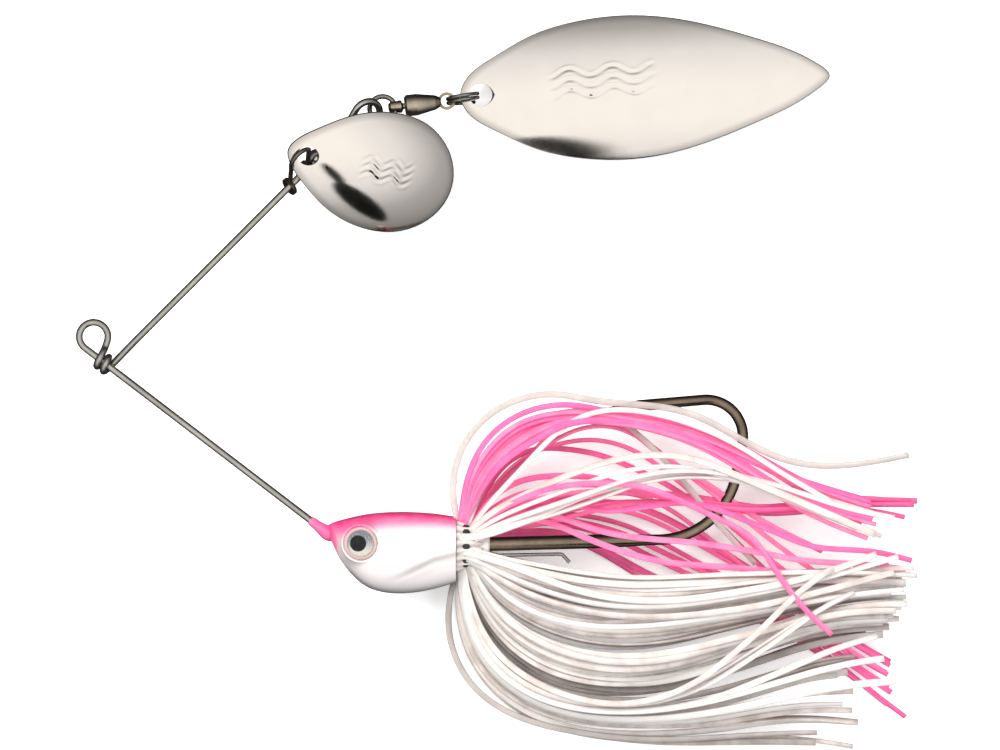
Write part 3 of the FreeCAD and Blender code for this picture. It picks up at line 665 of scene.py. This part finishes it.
class LURE_OT_head(bpy.types.Operator):
    """Draw the painted head with its gill lines, eye seats and nose sleeve"""

    bl_idname = "lure.head"
    bl_label = "Head"

    def execute(self, context):
        c = context.scene.lure_colours
        finish = painted_head(c)
        rows, columns = 240, 256
        station = curve(HEAD_STATIONS, rows)
        x, top, bottom, half = station.T
        half = np.maximum(half, HEAD_STATIONS[0][3])
        angle = np.linspace(0, 2 * np.pi, columns, endpoint=False)
        centre = (top + bottom) / 2
        # station ovals: y = centre + height cos a, z = half sin a
        px = np.repeat(x[:, None], columns, axis=1)
        py = centre[:, None] + ((top - bottom) / 2)[:, None] * np.cos(angle)
        pz = half[:, None] * np.sin(angle)
        side = np.sign(pz)
        # gill line: a shallow groove, deepest at the rear
        line = np.interp(px, *np.array(GILL_LINE).T)
        below = line - py
        groove = np.exp(-((below - 0.35) / 0.55) ** 2) + 0.45 * np.exp(-((below - 1.3) / 1.0) ** 2)
        groove = groove * step(px, -17.5, -11.5) * step(np.abs(pz), 0.5, 2.5)
        depth = context.scene.lure_sizes.groove_depth / MM
        pz = pz - side * depth * groove
        # eye seat: a floor ringed by a low lip that falls away to the cheek
        away = np.hypot(px - EYE[0], py - EYE[1])
        lip = 0.22 * np.exp(-((away - 2.6) / 0.16) ** 2)
        seat = EYE_SEAT + lip - 1.9 * np.maximum(away - 2.75, 0)
        # the fillet where the lip meets the cheek: max(a, b) + 0.2 (1 - |a - b| / 0.8)^2
        fillet = 0.2 * np.maximum(1 - np.abs(np.abs(pz) - seat) / 0.8, 0) ** 2
        lifted = np.where(away < 4.5, np.maximum(np.abs(pz), seat) + fillet, np.abs(pz))
        lifted = np.where(away < 2.42, np.minimum(lifted, EYE_SEAT), lifted)
        facing = np.abs(np.sin(angle))[None, :] > 0.3
        pz = np.where(facing, side * lifted, pz)
        points = np.stack([px, py, pz + WIRE_PLANE], axis=-1).reshape(-1, 3)
        # paint: 1 on the back, 0 past the fade's width below it; all pink at the nose
        fade = np.interp(px, (-25.0, -20.0, -14.0, -7.0), (3.4, 3.0, 2.7, 2.0))
        paint = np.maximum(1.08 - (top[:, None] - py) / fade, step(-px, 22.9, 24.9))
        # painted shade: darker towards the belly, where the head turns away from the light, and in
        # the gill groove
        low = (centre[:, None] - py) / np.maximum(top - bottom, 0.1)[:, None] * 2
        shade = 0.75 * step(low, 0.72, 1.02) ** 2 + 0.42 * groove
        values = {"paint": np.clip(paint, 0, 1).ravel(), "shade": np.clip(shade, 0, 1).ravel()}
        casting = mesh_piece("head_casting", points, tube_faces(rows, columns), finish,
                             "frame", ["head_body"], values)
        casting.visible_glossy = False
        down = unit([0.7947, -0.607, 0])
        nose = np.array([-27.75, -20.65, WIRE_PLANE])
        profile = curve([(0, 0.58), (0.25, 0.64), (1.2, 0.72), (2.3, 0.92), (3.2, 1.0), (4.0, 0.75),
                         (4.5, 0.3)], 40)
        points, n, m = turned(profile, nose, down, 64)
        pinks = {"paint": np.full(len(points), 0.8), "shade": np.zeros(len(points))}
        sleeve = mesh_piece("nose_sleeve", points, tube_faces(n, m), finish,
                            values=pinks)
        sleeve.visible_glossy = False
        points, n, m = turned([(0, 2.05), (4.9, 2.0), (5.2, 1.8)],
                              [-7.3, BAND[1], WIRE_PLANE], SKIRT_AXIS, 64)
        mesh_piece("skirt_collar_stub", points, tube_faces(n, m), finish)
        return {"FINISHED"}


class LURE_OT_eyes(bpy.types.Operator):
    """Finish the eye prints and draw the clear domes over them"""

    bl_idname = "lure.eyes"
    bl_label = "Eyes"

    def execute(self, context):
        printed = eye_print()
        resin = eye_resin()
        for side, sign in (("left", 1), ("right", -1)):
            dress("eye_disc_" + side, printed)
            seat = np.array([EYE[0], EYE[1], WIRE_PLANE + sign * (EYE_SEAT + 0.02)])
            # dome: radius R cos a, height h sin a, closed below by a flat floor
            a = np.linspace(0, np.pi / 2, 24)
            dome = np.stack([0.38 + 0.72 * np.sin(a), 2.33 * np.cos(a) ** 0.8], axis=1)
            profile = np.vstack([[0.33, 0.0], [0.33, 2.25], [0.34, 2.33], dome])
            points, n, m = turned(profile, seat, [0, 0, sign], 72)
            mesh_piece("eye_dome_" + side, points, tube_faces(n, m), resin, "frame",
                       ["eye_lens_" + side])
        return {"FINISHED"}


# ------------------------------------------------------------------ skirt

# Guide lines run from the band: (back, up) in millimetres from the band's centre.
OUTER_WHITE = ((-1.2, 3.0), (-1.9, 8.3), (-0.3, 14.4), (3.6, 18.8), (8.7, 21.1), (13.4, 21.5),
               (18.0, 20.7), (25.0, 19.9), (33.0, 18.6), (40.0, 15.4), (47.0, 12.6), (65.0, 14.2))
CREST = ((-0.9, 3.0), (0.3, 9.7), (2.9, 14.8), (6.6, 18.0), (11.0, 19.8), (15.7, 20.3),
         (20.5, 19.7), (28.0, 18.1), (36.0, 15.9), (42.0, 13.5), (48.5, 11.2), (59.6, 8.1))
BUNDLE_TOP = ((-0.5, 3.0), (1.1, 9.3), (4.1, 13.9), (8.3, 17.2), (13.4, 18.7), (19.0, 19.1),
              (24.5, 18.7), (30.1, 17.4), (36.6, 15.1), (42.0, 12.2), (48.5, 8.4), (57.5, 4.6))
BUNDLE_LOW = ((-0.3, 2.9), (2.2, 8.2), (5.0, 11.8), (9.7, 15.0), (14.8, 17.3), (20.8, 17.6),
              (26.4, 16.8), (31.5, 15.4), (36.5, 13.2), (41.8, 10.0), (48.2, 6.5), (58.5, 3.0))
STRAIGHT = ((0.7, 2.6), (3.3, 6.0), (6.5, 9.6), (9.8, 13.2), (13.2, 16.6), (16.8, 18.9),
            (21.0, 19.9), (26.5, 19.6), (33.0, 17.9), (39.0, 15.2), (45.0, 11.6), (52.0, 7.8))
RETURN = ((0.2, 2.8), (2.8, 9.0), (6.5, 13.6), (11.5, 16.8), (16.5, 18.4), (20.5, 18.2),
          (24.0, 16.2), (27.6, 13.0), (31.2, 9.2), (34.8, 5.1), (38.4, 1.2), (41.5, -1.9))
SLANT = ((0.7, 2.6), (4.3, 7.4), (8.7, 12.0), (12.2, 15.6), (15.7, 18.0), (20.6, 18.6),
         (25.2, 16.0), (30.1, 12.2), (36.6, 7.9), (41.3, 4.6), (47.0, 1.2), (53.0, -1.7))
LOOP_BACK = ((0.8, 2.6), (2.4, 6.6), (5.8, 11.4), (10.2, 13.7), (14.5, 13.9), (19.5, 13.2),
             (24.7, 11.3), (30.0, 8.6), (36.5, 3.7), (42.0, -1.3), (48.0, -6.5), (58.5, -15.8))
WHITE_ARC_TOP = ((0.6, 2.2), (4.0, 4.8), (8.1, 7.0), (12.6, 9.0), (17.4, 10.8), (22.4, 12.2),
                 (27.5, 12.8), (33.0, 12.4), (39.4, 10.4), (46.0, 8.0), (53.0, 5.4), (60.6, 2.6))
WHITE_ARC_LOW = ((1.2, 0.9), (5.0, 2.2), (9.6, 3.6), (14.5, 5.0), (19.6, 6.6), (25.0, 8.4),
                 (30.5, 9.3), (36.4, 9.3), (42.4, 8.6), (48.0, 7.0), (54.0, 5.2), (61.0, 4.0))
FLAT_PINK_TOP = ((0.8, 2.6), (4.0, 6.6), (8.0, 8.9), (13.4, 9.8), (19.0, 9.7), (24.5, 8.4),
                 (31.0, 6.9), (38.0, 5.6), (45.0, 5.2), (51.5, 5.6), (58.5, 5.8), (65.6, 5.9))
FLAT_PINK_LOW = ((1.0, 1.6), (5.0, 2.3), (9.5, 2.6), (14.3, 3.6), (19.0, 4.9), (24.5, 6.0),
                 (30.0, 6.2), (36.6, 5.7), (44.0, 4.4), (51.0, 4.7), (58.5, 5.4), (65.4, 4.5))
FALL_TOP = ((1.0, 2.2), (6.0, 4.6), (12.0, 6.6), (18.0, 7.4), (24.0, 7.2), (29.5, 5.0),
            (34.5, 1.5), (40.0, -2.7), (45.0, -6.5), (50.0, -10.2), (55.0, -13.6), (61.0, -16.9))
FALL_LOW = ((1.2, 0.8), (6.6, 1.3), (12.5, 1.4), (18.0, -0.3), (23.0, -3.0), (28.0, -5.8),
            (33.5, -7.8), (39.0, -9.2), (45.0, -11.4), (50.0, -14.2), (55.5, -18.0), (63.5, -24.0))
MID_PINK_TOP = ((1.0, 2.0), (6.0, 3.7), (12.5, 2.9), (17.5, 0.8), (22.7, -1.3), (28.3, -2.9),
                (34.0, -3.3), (40.0, -3.2), (46.0, -3.2), (51.0, -3.1), (56.0, -3.1), (61.6, -3.0))
MID_PINK_LOW = ((1.0, 2.0), (7.0, 5.6), (13.4, 6.0), (20.0, 4.6), (26.6, 4.9), (33.0, 5.0),
                (39.5, 3.0), (45.0, 0.9), (50.0, -0.9), (54.0, -1.4), (59.0, -1.8), (64.6, -3.1))
LEVEL_TOP = ((0.9, -0.4), (5.0, -1.6), (9.6, -2.5), (14.6, -3.4), (19.6, -4.1), (25.0, -4.5),
             (31.0, -4.4), (37.0, -4.1), (43.5, -3.8), (50.0, -3.5), (57.0, -3.5), (64.5, -3.7))
LEVEL_LOW = ((0.8, -2.2), (3.6, -5.0), (7.4, -7.8), (12.0, -9.8), (17.6, -11.0), (23.6, -11.2),
             (30.0, -10.6), (36.5, -9.5), (43.0, -8.4), (49.5, -7.2), (56.0, -6.2), (62.5, -5.6))
SWEEP_TOP = ((0.4, -2.6), (2.8, -6.6), (6.4, -10.4), (11.0, -13.2), (16.4, -15.0), (22.6, -15.8),
             (29.4, -15.4), (36.4, -13.9), (43.0, -12.0), (49.6, -10.0), (56.0, -8.4), (63.0, -7.6))
SWEEP_LOW = ((0.1, -2.9), (2.0, -8.2), (5.0, -12.8), (9.6, -16.6), (15.4, -19.0), (22.0, -19.9),
             (29.0, -19.4), (36.0, -17.4), (42.6, -15.0), (49.2, -12.8), (55.6, -11.6),
             (61.6, -11.2))
BASKET_TOP = ((-0.5, -3.0), (0.9, -9.2), (3.4, -14.6), (7.6, -18.8), (13.2, -21.6), (19.8, -22.9),
              (26.8, -23.1), (33.6, -22.3), (39.6, -20.7), (45.2, -18.8), (50.4, -17.2),
              (54.6, -16.4))
BASKET_LOW = ((-1.2, -3.0), (-1.0, -10.2), (0.9, -16.4), (4.8, -21.2), (10.4, -24.6), (17.0, -26.4),
              (24.4, -27.1), (31.6, -27.2), (38.6, -27.0), (45.0, -26.6), (51.4, -26.8),
              (57.4, -27.5))
OUTER_LOW = ((-1.3, -3.0), (-2.6, -9.6), (-1.8, -15.6), (1.6, -20.9), (6.8, -24.4), (13.2, -26.4),
             (20.4, -27.5), (27.6, -27.8), (34.4, -27.4), (40.6, -26.8), (46.4, -26.3),
             (51.6, -26.0))
SPRAY_TOP = ((-0.4, -3.0), (1.4, -10.0), (4.6, -15.0), (9.4, -18.6), (15.2, -20.8), (21.6, -21.6),
             (28.0, -20.6), (33.6, -18.2), (38.6, -14.6), (43.6, -10.4), (48.4, -6.0), (53.0, -2.8))
SPRAY_LOW = ((-0.8, -3.0), (0.2, -10.8), (3.2, -16.8), (8.0, -21.0), (14.2, -23.4), (21.0, -24.2),
             (28.4, -24.0), (35.8, -23.2), (43.0, -22.0), (50.0, -20.8), (57.0, -20.0),
             (63.6, -19.8))
CENTRE_TOP = ((-1.2, 0.9), (0.6, 1.3), (2.6, 1.6), (6.0, 2.6), (10.5, 4.2), (16.0, 6.4),
              (22.5, 8.2), (29.6, 9.2), (37.0, 9.1), (45.0, 7.6), (53.0, 5.4), (60.5, 2.9))
CENTRE_LOW = ((-1.2, -0.9), (0.6, -1.2), (2.6, -1.7), (6.4, -2.8), (11.5, -4.6), (17.5, -6.4),
              (24.0, -7.4), (31.0, -7.5), (38.0, -6.8), (45.0, -5.6), (52.6, -3.6), (60.8, -0.4))
CROSSING_PINK = ((0.8, 2.4), (6.5, 6.0), (13.0, 8.4), (19.5, 9.0), (26.0, 8.6), (32.0, 6.8),
                 (37.5, 4.8), (42.0, 2.6), (45.2, -1.2), (48.2, -5.0), (51.0, -7.8), (53.6, -10.0))

FANS = (  # piece, finish, one edge, other edge, strands, levels from and to, CAD nodes
    ("skirt_outer_arc", "shaded", OUTER_WHITE, OUTER_WHITE, 1, 3.2, 3.2, ()),
    ("skirt_crest", "pink", CREST, BUNDLE_TOP, 3, 3.6, 4.2, ("skirt_front_upper_left",)),
    ("skirt_bundle", "pink", BUNDLE_TOP, BUNDLE_LOW, 10, 2.4, 4.6, ("skirt_front_upper_right",)),
    ("skirt_straight_white", "white", STRAIGHT, STRAIGHT, 1, 5.0, 5.0, ()),
    ("skirt_returning_white", "shaded", RETURN, RETURN, 1, 1.2, 1.2, ()),
    ("skirt_slant_pink", "pink", SLANT, LOOP_BACK, 4, 0.2, -2.4, ("skirt_rear_upper_right",)),
    ("skirt_white_arcs", "white", WHITE_ARC_TOP, WHITE_ARC_LOW, 4, 5.3, 4.8,
     ("skirt_rear_upper_left",)),
    ("skirt_flat_pink", "pink", FLAT_PINK_TOP, FLAT_PINK_LOW, 6, 1.6, -2.0, ()),
    ("skirt_falling_pink", "pink", FALL_TOP, FALL_LOW, 8, -3.0, -4.8, ()),
    ("skirt_middle_pink", "pink", MID_PINK_TOP, MID_PINK_LOW, 3, 2.2, 3.0, ()),
    ("skirt_crossing_pink", "pink", CROSSING_PINK, CROSSING_PINK, 1, 5.2, 5.2, ()),
    ("skirt_centre_up", "white", CENTRE_TOP, CENTRE_TOP, 1, 4.6, 4.6, ()),
    ("skirt_centre_down", "white", CENTRE_LOW, LEVEL_LOW, 4, 4.6, 4.3, ()),
    ("skirt_level_white", "white", LEVEL_TOP, LEVEL_LOW, 10, 4.2, 1.0,
     ("skirt_rear_lower_left",)),
    ("skirt_level_under", "shaded", LEVEL_TOP, LEVEL_LOW, 5, -1.8, -3.8,
     ("skirt_rear_lower_right",)),
    ("skirt_sweep_white", "white", SWEEP_TOP, SWEEP_LOW, 12, 3.6, 0.4, ("skirt_front_lower_left",)),
    ("skirt_basket_white", "white", BASKET_TOP, BASKET_LOW, 9, 2.8, -3.6,
     ("skirt_front_lower_right",)),
    ("skirt_spray_white", "white", SPRAY_TOP, SPRAY_LOW, 6, 4.8, 3.9, ()),
    ("skirt_outer_low", "shaded", OUTER_LOW, OUTER_LOW, 2, -2.6, -3.4, ()),
    ("skirt_between_white", "white", LEVEL_LOW, SWEEP_TOP, 6, 2.0, -0.4, ()),
    ("skirt_between_low", "shaded", SWEEP_LOW, BASKET_TOP, 5, -0.6, -2.2, ()),
)


def ribbons(fan, width, thick, rows, draw):
    """Flat strands between two guide lines.

    Strand n follows edge + share (other edge - edge), with share = n / (count - 1), and a slow
    sine of its own in the plane. It leaves the waist's circle and reaches its own level over the
    first fifth: height = start (1 - lift) + level lift. Its section is a flattened octagon that
    turns slowly about the line.
    """
    _, _, one, other, count, level_one, level_other, _ = fan
    share = np.linspace(0, 1, count)[:, None, None] if count > 1 else np.zeros((1, 1, 1))
    share = np.clip(share + draw.normal(0, 0.25 / max(count, 1), share.shape), -0.06, 1.06)
    one, other = curve(one, rows), curve(other, rows)
    flat = one + share * (other - one)
    t = np.linspace(0, 1, rows)[None, :]
    phase = draw.uniform(0, 2 * np.pi, (count, 1))
    wander = draw.uniform(0.15, 0.75, (count, 1)) * np.sin(phase + 4.5 * t) * step(t, 0.05, 0.7)
    droop = draw.normal(0, 0.9, (count, 1)) * t ** 2
    cutoff = 1 + draw.uniform(-0.045, 0.0, (count, 1, 1))
    flat[..., 1] += wander + droop
    flat[..., 0] = flat[:, :1, 0] + (flat[..., 0] - flat[:, :1, 0]) * cutoff[..., 0]
    level = level_one + share[..., 0] * (level_other - level_one)
    level = level + draw.normal(0, 0.28, (count, 1)) + 0.35 * np.sin(phase * 1.7 + 5 * t)
    start = np.clip(flat[:, :1, 1], -WAIST, WAIST)
    rise = np.where(level[:, :1] >= 0, 1, -1) * np.sqrt(np.maximum(WAIST ** 2 - start ** 2, 0.05))
    lift = step(t, 0.0, 0.2)
    high = rise * (1 - lift) + level * lift
    line = np.stack([flat[..., 0], flat[..., 1], high], axis=-1)
    line = line + np.array([BAND[0], BAND[1], WIRE_PLANE])
    along = unit(np.gradient(line, axis=1))
    radial = np.stack([np.zeros_like(start), start, rise], axis=-1)
    tilt = draw.uniform(-0.55, 0.55, (count, 1)) + 0.5 * np.sin(phase * 2.3 + 3 * t)
    facing = np.stack([np.zeros_like(tilt), np.sin(tilt), np.cos(tilt)], axis=-1)
    facing = facing * np.where(rise > 0, 1, -1)[..., None]
    facing = unit(radial) * (1 - lift[..., None]) + facing * lift[..., None]
    across = unit(np.cross(along, facing))
    square = np.cross(across, along)
    section = np.array([(1, 0.45), (0.86, 1), (-0.86, 1), (-1, 0.45), (-1, -0.45), (-0.86, -1),
                        (0.86, -1), (1, -0.45)])
    own = draw.uniform(0.62, 1.02, (count, 1, 1, 1))
    points = (line[:, :, None] + across[:, :, None] * section[:, :1] * (width / 2) * own
              + square[:, :, None] * section[:, 1:] * (thick / 2))
    columns = len(section)
    faces = grid_faces(rows, columns)
    per = rows * columns
    sides = (faces[None] + (np.arange(count) * per)[:, None, None]).reshape(-1, 4)
    ends = []
    for n in range(count):
        ends += [[n * per + k for k in range(columns)][::-1],
                 [n * per + (rows - 1) * columns + k for k in range(columns)]]
    # low strands are darker: painted shade under the upper strands, added to each strand's random
    # tone
    tone = np.clip(0.9 * draw.uniform(0, 1, count) + 0.05 * level[:, rows // 2] - 0.05, 0, 1)
    tone = np.repeat(tone, per)
    run = np.tile(np.repeat(np.linspace(0, 1, rows), columns), count)
    return points.reshape(-1, 3), sides[:, ::-1].tolist() + [e[::-1] for e in ends], tone, run


class LURE_OT_skirt(bpy.types.Operator):
    """Draw the skirt's separate silicone strands"""

    bl_idname = "lure.skirt"
    bl_label = "Skirt strands"

    def execute(self, context):
        s, c = context.scene.lure_sizes, context.scene.lure_colours
        finishes = {
            # pink strands get a painted glow of their own colour, 0.16 strong
            "pink": silicone("silicone_pink", tuple(c.strand_pink), scaled(c.strand_pink, 0.7),
                             (0.96, 0.28, 0.47), 0.16),
            "white": silicone("silicone_white", tuple(c.strand_white), (0.42, 0.355, 0.32),
                              (0.88, 0.83, 0.81)),
            # painted shade: a darker copy of the white silicone for the white strands drawn as
            # shaded
            "shaded": silicone("silicone_shaded", scaled(c.strand_white, 0.66), (0.30, 0.26, 0.23),
                               (0.66, 0.60, 0.57)),
        }
        draw = np.random.default_rng(s.seed)
        for fan in FANS:
            points, faces, tone, run = ribbons(fan, s.strand_width / MM, s.strand_thick / MM,
                                               s.strand_steps, draw)
            piece = mesh_piece(fan[0], points, faces, finishes[fan[1]], "frame", fan[7],
                               {"tone": tone, "run": run})
            piece.visible_glossy = False
        return {"FINISHED"}


class LURE_OT_collar(bpy.types.Operator):
    """Draw the gathered waist of the skirt and its rubber band"""

    bl_idname = "lure.collar"
    bl_label = "Skirt collar"

    def execute(self, context):
        c = context.scene.lure_colours
        white = silicone("silicone_gathered", tuple(c.strand_white), (0.62, 0.51, 0.48),
                         (0.84, 0.74, 0.73))
        profile = [(-1.55, 2.05), (-1.55, 3.3), (-1.35, 3.75), (-0.9, 3.65), (-0.45, 3.5),
                   (0.45, 3.45), (0.9, 3.4), (1.4, 3.1), (2.2, 2.4), (2.5, 2.05)]
        points, rows, columns = turned(curve(profile, 60), BAND, SKIRT_AXIS, 360, 18, 0.7)
        tone = np.full(len(points), 0.5)
        mesh_piece("skirt_gather", points, tube_faces(rows, columns), white, "frame",
                   ["skirt_waist"], {"tone": tone, "run": tone})
        dress("skirt_band", rubber(c))
        return {"FINISHED"}


# ------------------------------------------------------------------ stage


class LURE_OT_stage(bpy.types.Operator):
    """Lay the pale floor, the soft light and the camera"""

    bl_idname = "lure.stage"
    bl_label = "Stage"

    def execute(self, context):
        s, c = context.scene.lure_sizes, context.scene.lure_colours
        f = Finish("floor_pale", Roughness=0.8)
        mottle = f.fit(f.noise(0.02, 2.0), 0.3, 0.7, 0.0, 0.05)
        f.set("Base Color", f.mix(mottle, tuple(c.floor), scaled(c.floor, 0.97)))
        f.shader.inputs["Emission Color"].default_value = (1, 1, 1, 1)
        f.shader.inputs["Emission Strength"].default_value = 0.35
        mesh = bpy.data.meshes.new("floor")
        reach = 4.0
        mesh.from_pydata([(-reach, -reach, 0), (reach, -reach, 0), (reach, reach, 0),
                          (-reach, reach, 0)], [], [(0, 1, 2, 3)])
        mesh.materials.append(f.material)
        floor = bpy.data.objects.new("floor", mesh)
        context.scene.collection.objects.link(floor)
        world = bpy.data.worlds.new("soft_room")
        world.use_nodes = True
        context.scene.world = world
        nodes, links = world.node_tree.nodes, world.node_tree.links
        back = nodes["Background"]
        place = nodes.new("ShaderNodeTexCoord")
        # brightest overhead, a little towards the skirt's side
        aim = nodes.new("ShaderNodeVectorMath")
        aim.operation = "DOT_PRODUCT"
        aim.inputs[1].default_value = (0.05, -0.17, 0.98)
        ramp = nodes.new("ShaderNodeValToRGB")
        links.new(place.outputs["Generated"], aim.inputs[0])
        links.new(aim.outputs["Value"], ramp.inputs["Fac"])
        links.new(ramp.outputs["Color"], back.inputs["Color"])
        stops = ramp.color_ramp.elements
        stops[0].position, stops[0].color = 0.0, (0.04, 0.04, 0.045, 1)
        stops[1].position, stops[1].color = 0.97, (1.0, 0.985, 0.96, 1)
        for place_on, level in ((0.25, 0.22), (0.55, 0.42), (0.78, 0.80)):
            stops.new(place_on).color = (level, level, level * 1.01, 1)
        back.inputs["Strength"].default_value = 1.05
        context.scene.view_settings.view_transform = "Standard"
        floor.visible_glossy = floor.visible_diffuse = False
        self.light(context, "key", (-0.45, 0.45, 0.75), 0.7, 13.0, (1.0, 0.97, 0.93))
        self.light(context, "fill", (0.7, -0.35, 0.7), 0.8, 6.0, (0.95, 0.97, 1.0))
        camera = bpy.data.cameras.new("camera")
        sight = bpy.data.objects.new("camera", camera)
        context.scene.collection.objects.link(sight)
        camera.sensor_width = 36.0
        camera.lens = 36.0 * s.view_height / s.view_width
        camera.clip_start, camera.clip_end = 0.01, 10
        sight.location = (-0.643 * MM, 0.071 * MM, s.view_height + WIRE_PLANE * MM)
        context.scene.camera = sight
        thick = s.blade_thick / MM
        self.card(context, front_blade(thick), (-20.65, 24.8), (4.5, 1.35), -34, 0.30)
        self.card(context, rear_blade(thick), (8.1, 32.8), (6.9, 1.3), -6, 0.45)
        return {"FINISHED"}

    def light(self, context, name, place, size, power, tint):
        lamp = bpy.data.lights.new(name, "AREA")
        lamp.size, lamp.energy, lamp.color = size, power, tint
        thing = bpy.data.objects.new(name, lamp)
        context.scene.collection.objects.link(thing)
        thing.location = place
        thing.rotation_euler = (-Vector(place)).to_track_quat("-Z", "Y").to_euler()
        thing.visible_glossy = False

    def card(self, context, blade, middle, halves, turn, away):
        """A dark card whose mirror image in a blade is an oval in plan, seen from the camera.

        Each point of the oval is carried along its mirrored sight line by the same distance.
        """
        eye = np.array(context.scene.camera.location) / MM
        a, turn = np.linspace(0, 2 * np.pi, 64, endpoint=False), np.radians(turn)
        wide, high = halves[0] * np.cos(a), halves[1] * np.sin(a)
        plan = np.stack([middle[0] + wide * np.cos(turn) - high * np.sin(turn),
                         middle[1] + wide * np.sin(turn) + high * np.cos(turn)], axis=1)
        place, normal = blade.spot(*blade.under(plan).T)
        sight = unit(place - eye)
        glance = sight - 2 * (sight * normal).sum(-1, keepdims=True) * normal
        points = place * MM + glance * away
        mesh = bpy.data.meshes.new("dark_card")
        mesh.from_pydata(points.tolist(), [], [list(range(len(points)))])
        f = Finish("card_black", Roughness=0.9)
        f.set("Base Color", f.ramp(f.noise(0.05, 3.0), (0.3, (0.004, 0.005, 0.005)),
                                   (0.7, (0.02, 0.025, 0.022))))
        mesh.materials.append(f.material)
        card = bpy.data.objects.new("dark_card", mesh)
        context.scene.collection.objects.link(card)
        card.visible_camera = card.visible_shadow = card.visible_diffuse = False
        card.visible_transmission = False


# ------------------------------------------------------------------ add-on

STEPS = ("stage", "hardware", "beads", "blades", "head", "eyes", "collar", "skirt")


class LURE_PT_panel(bpy.types.Panel):
    """Sizes, colours and steps in the sidebar"""

    bl_idname = "LURE_PT_panel"
    bl_label = "Spinnerbait"
    bl_space_type = "VIEW_3D"
    bl_region_type = "UI"
    bl_category = "Lure"

    def draw(self, context):
        for group in (context.scene.lure_sizes, context.scene.lure_colours):
            box = self.layout.box()
            for name in group.__annotations__:
                box.prop(group, name)
        for name in STEPS:
            self.layout.operator("lure." + name)


CLASSES = (LureSizes, LureColours, LURE_OT_stage, LURE_OT_hardware, LURE_OT_beads,
           LURE_OT_blades, LURE_OT_head, LURE_OT_eyes, LURE_OT_collar, LURE_OT_skirt, LURE_PT_panel)


def register():
    for cls in CLASSES:
        bpy.utils.register_class(cls)
    bpy.types.Scene.lure_sizes = PointerProperty(type=LureSizes)
    bpy.types.Scene.lure_colours = PointerProperty(type=LureColours)


def unregister():
    del bpy.types.Scene.lure_colours
    del bpy.types.Scene.lure_sizes
    for cls in reversed(CLASSES):
        bpy.utils.unregister_class(cls)


def main():
    register()
    for name in STEPS:
        getattr(bpy.ops.lure, name)()


if __name__ == "__main__":
    main()
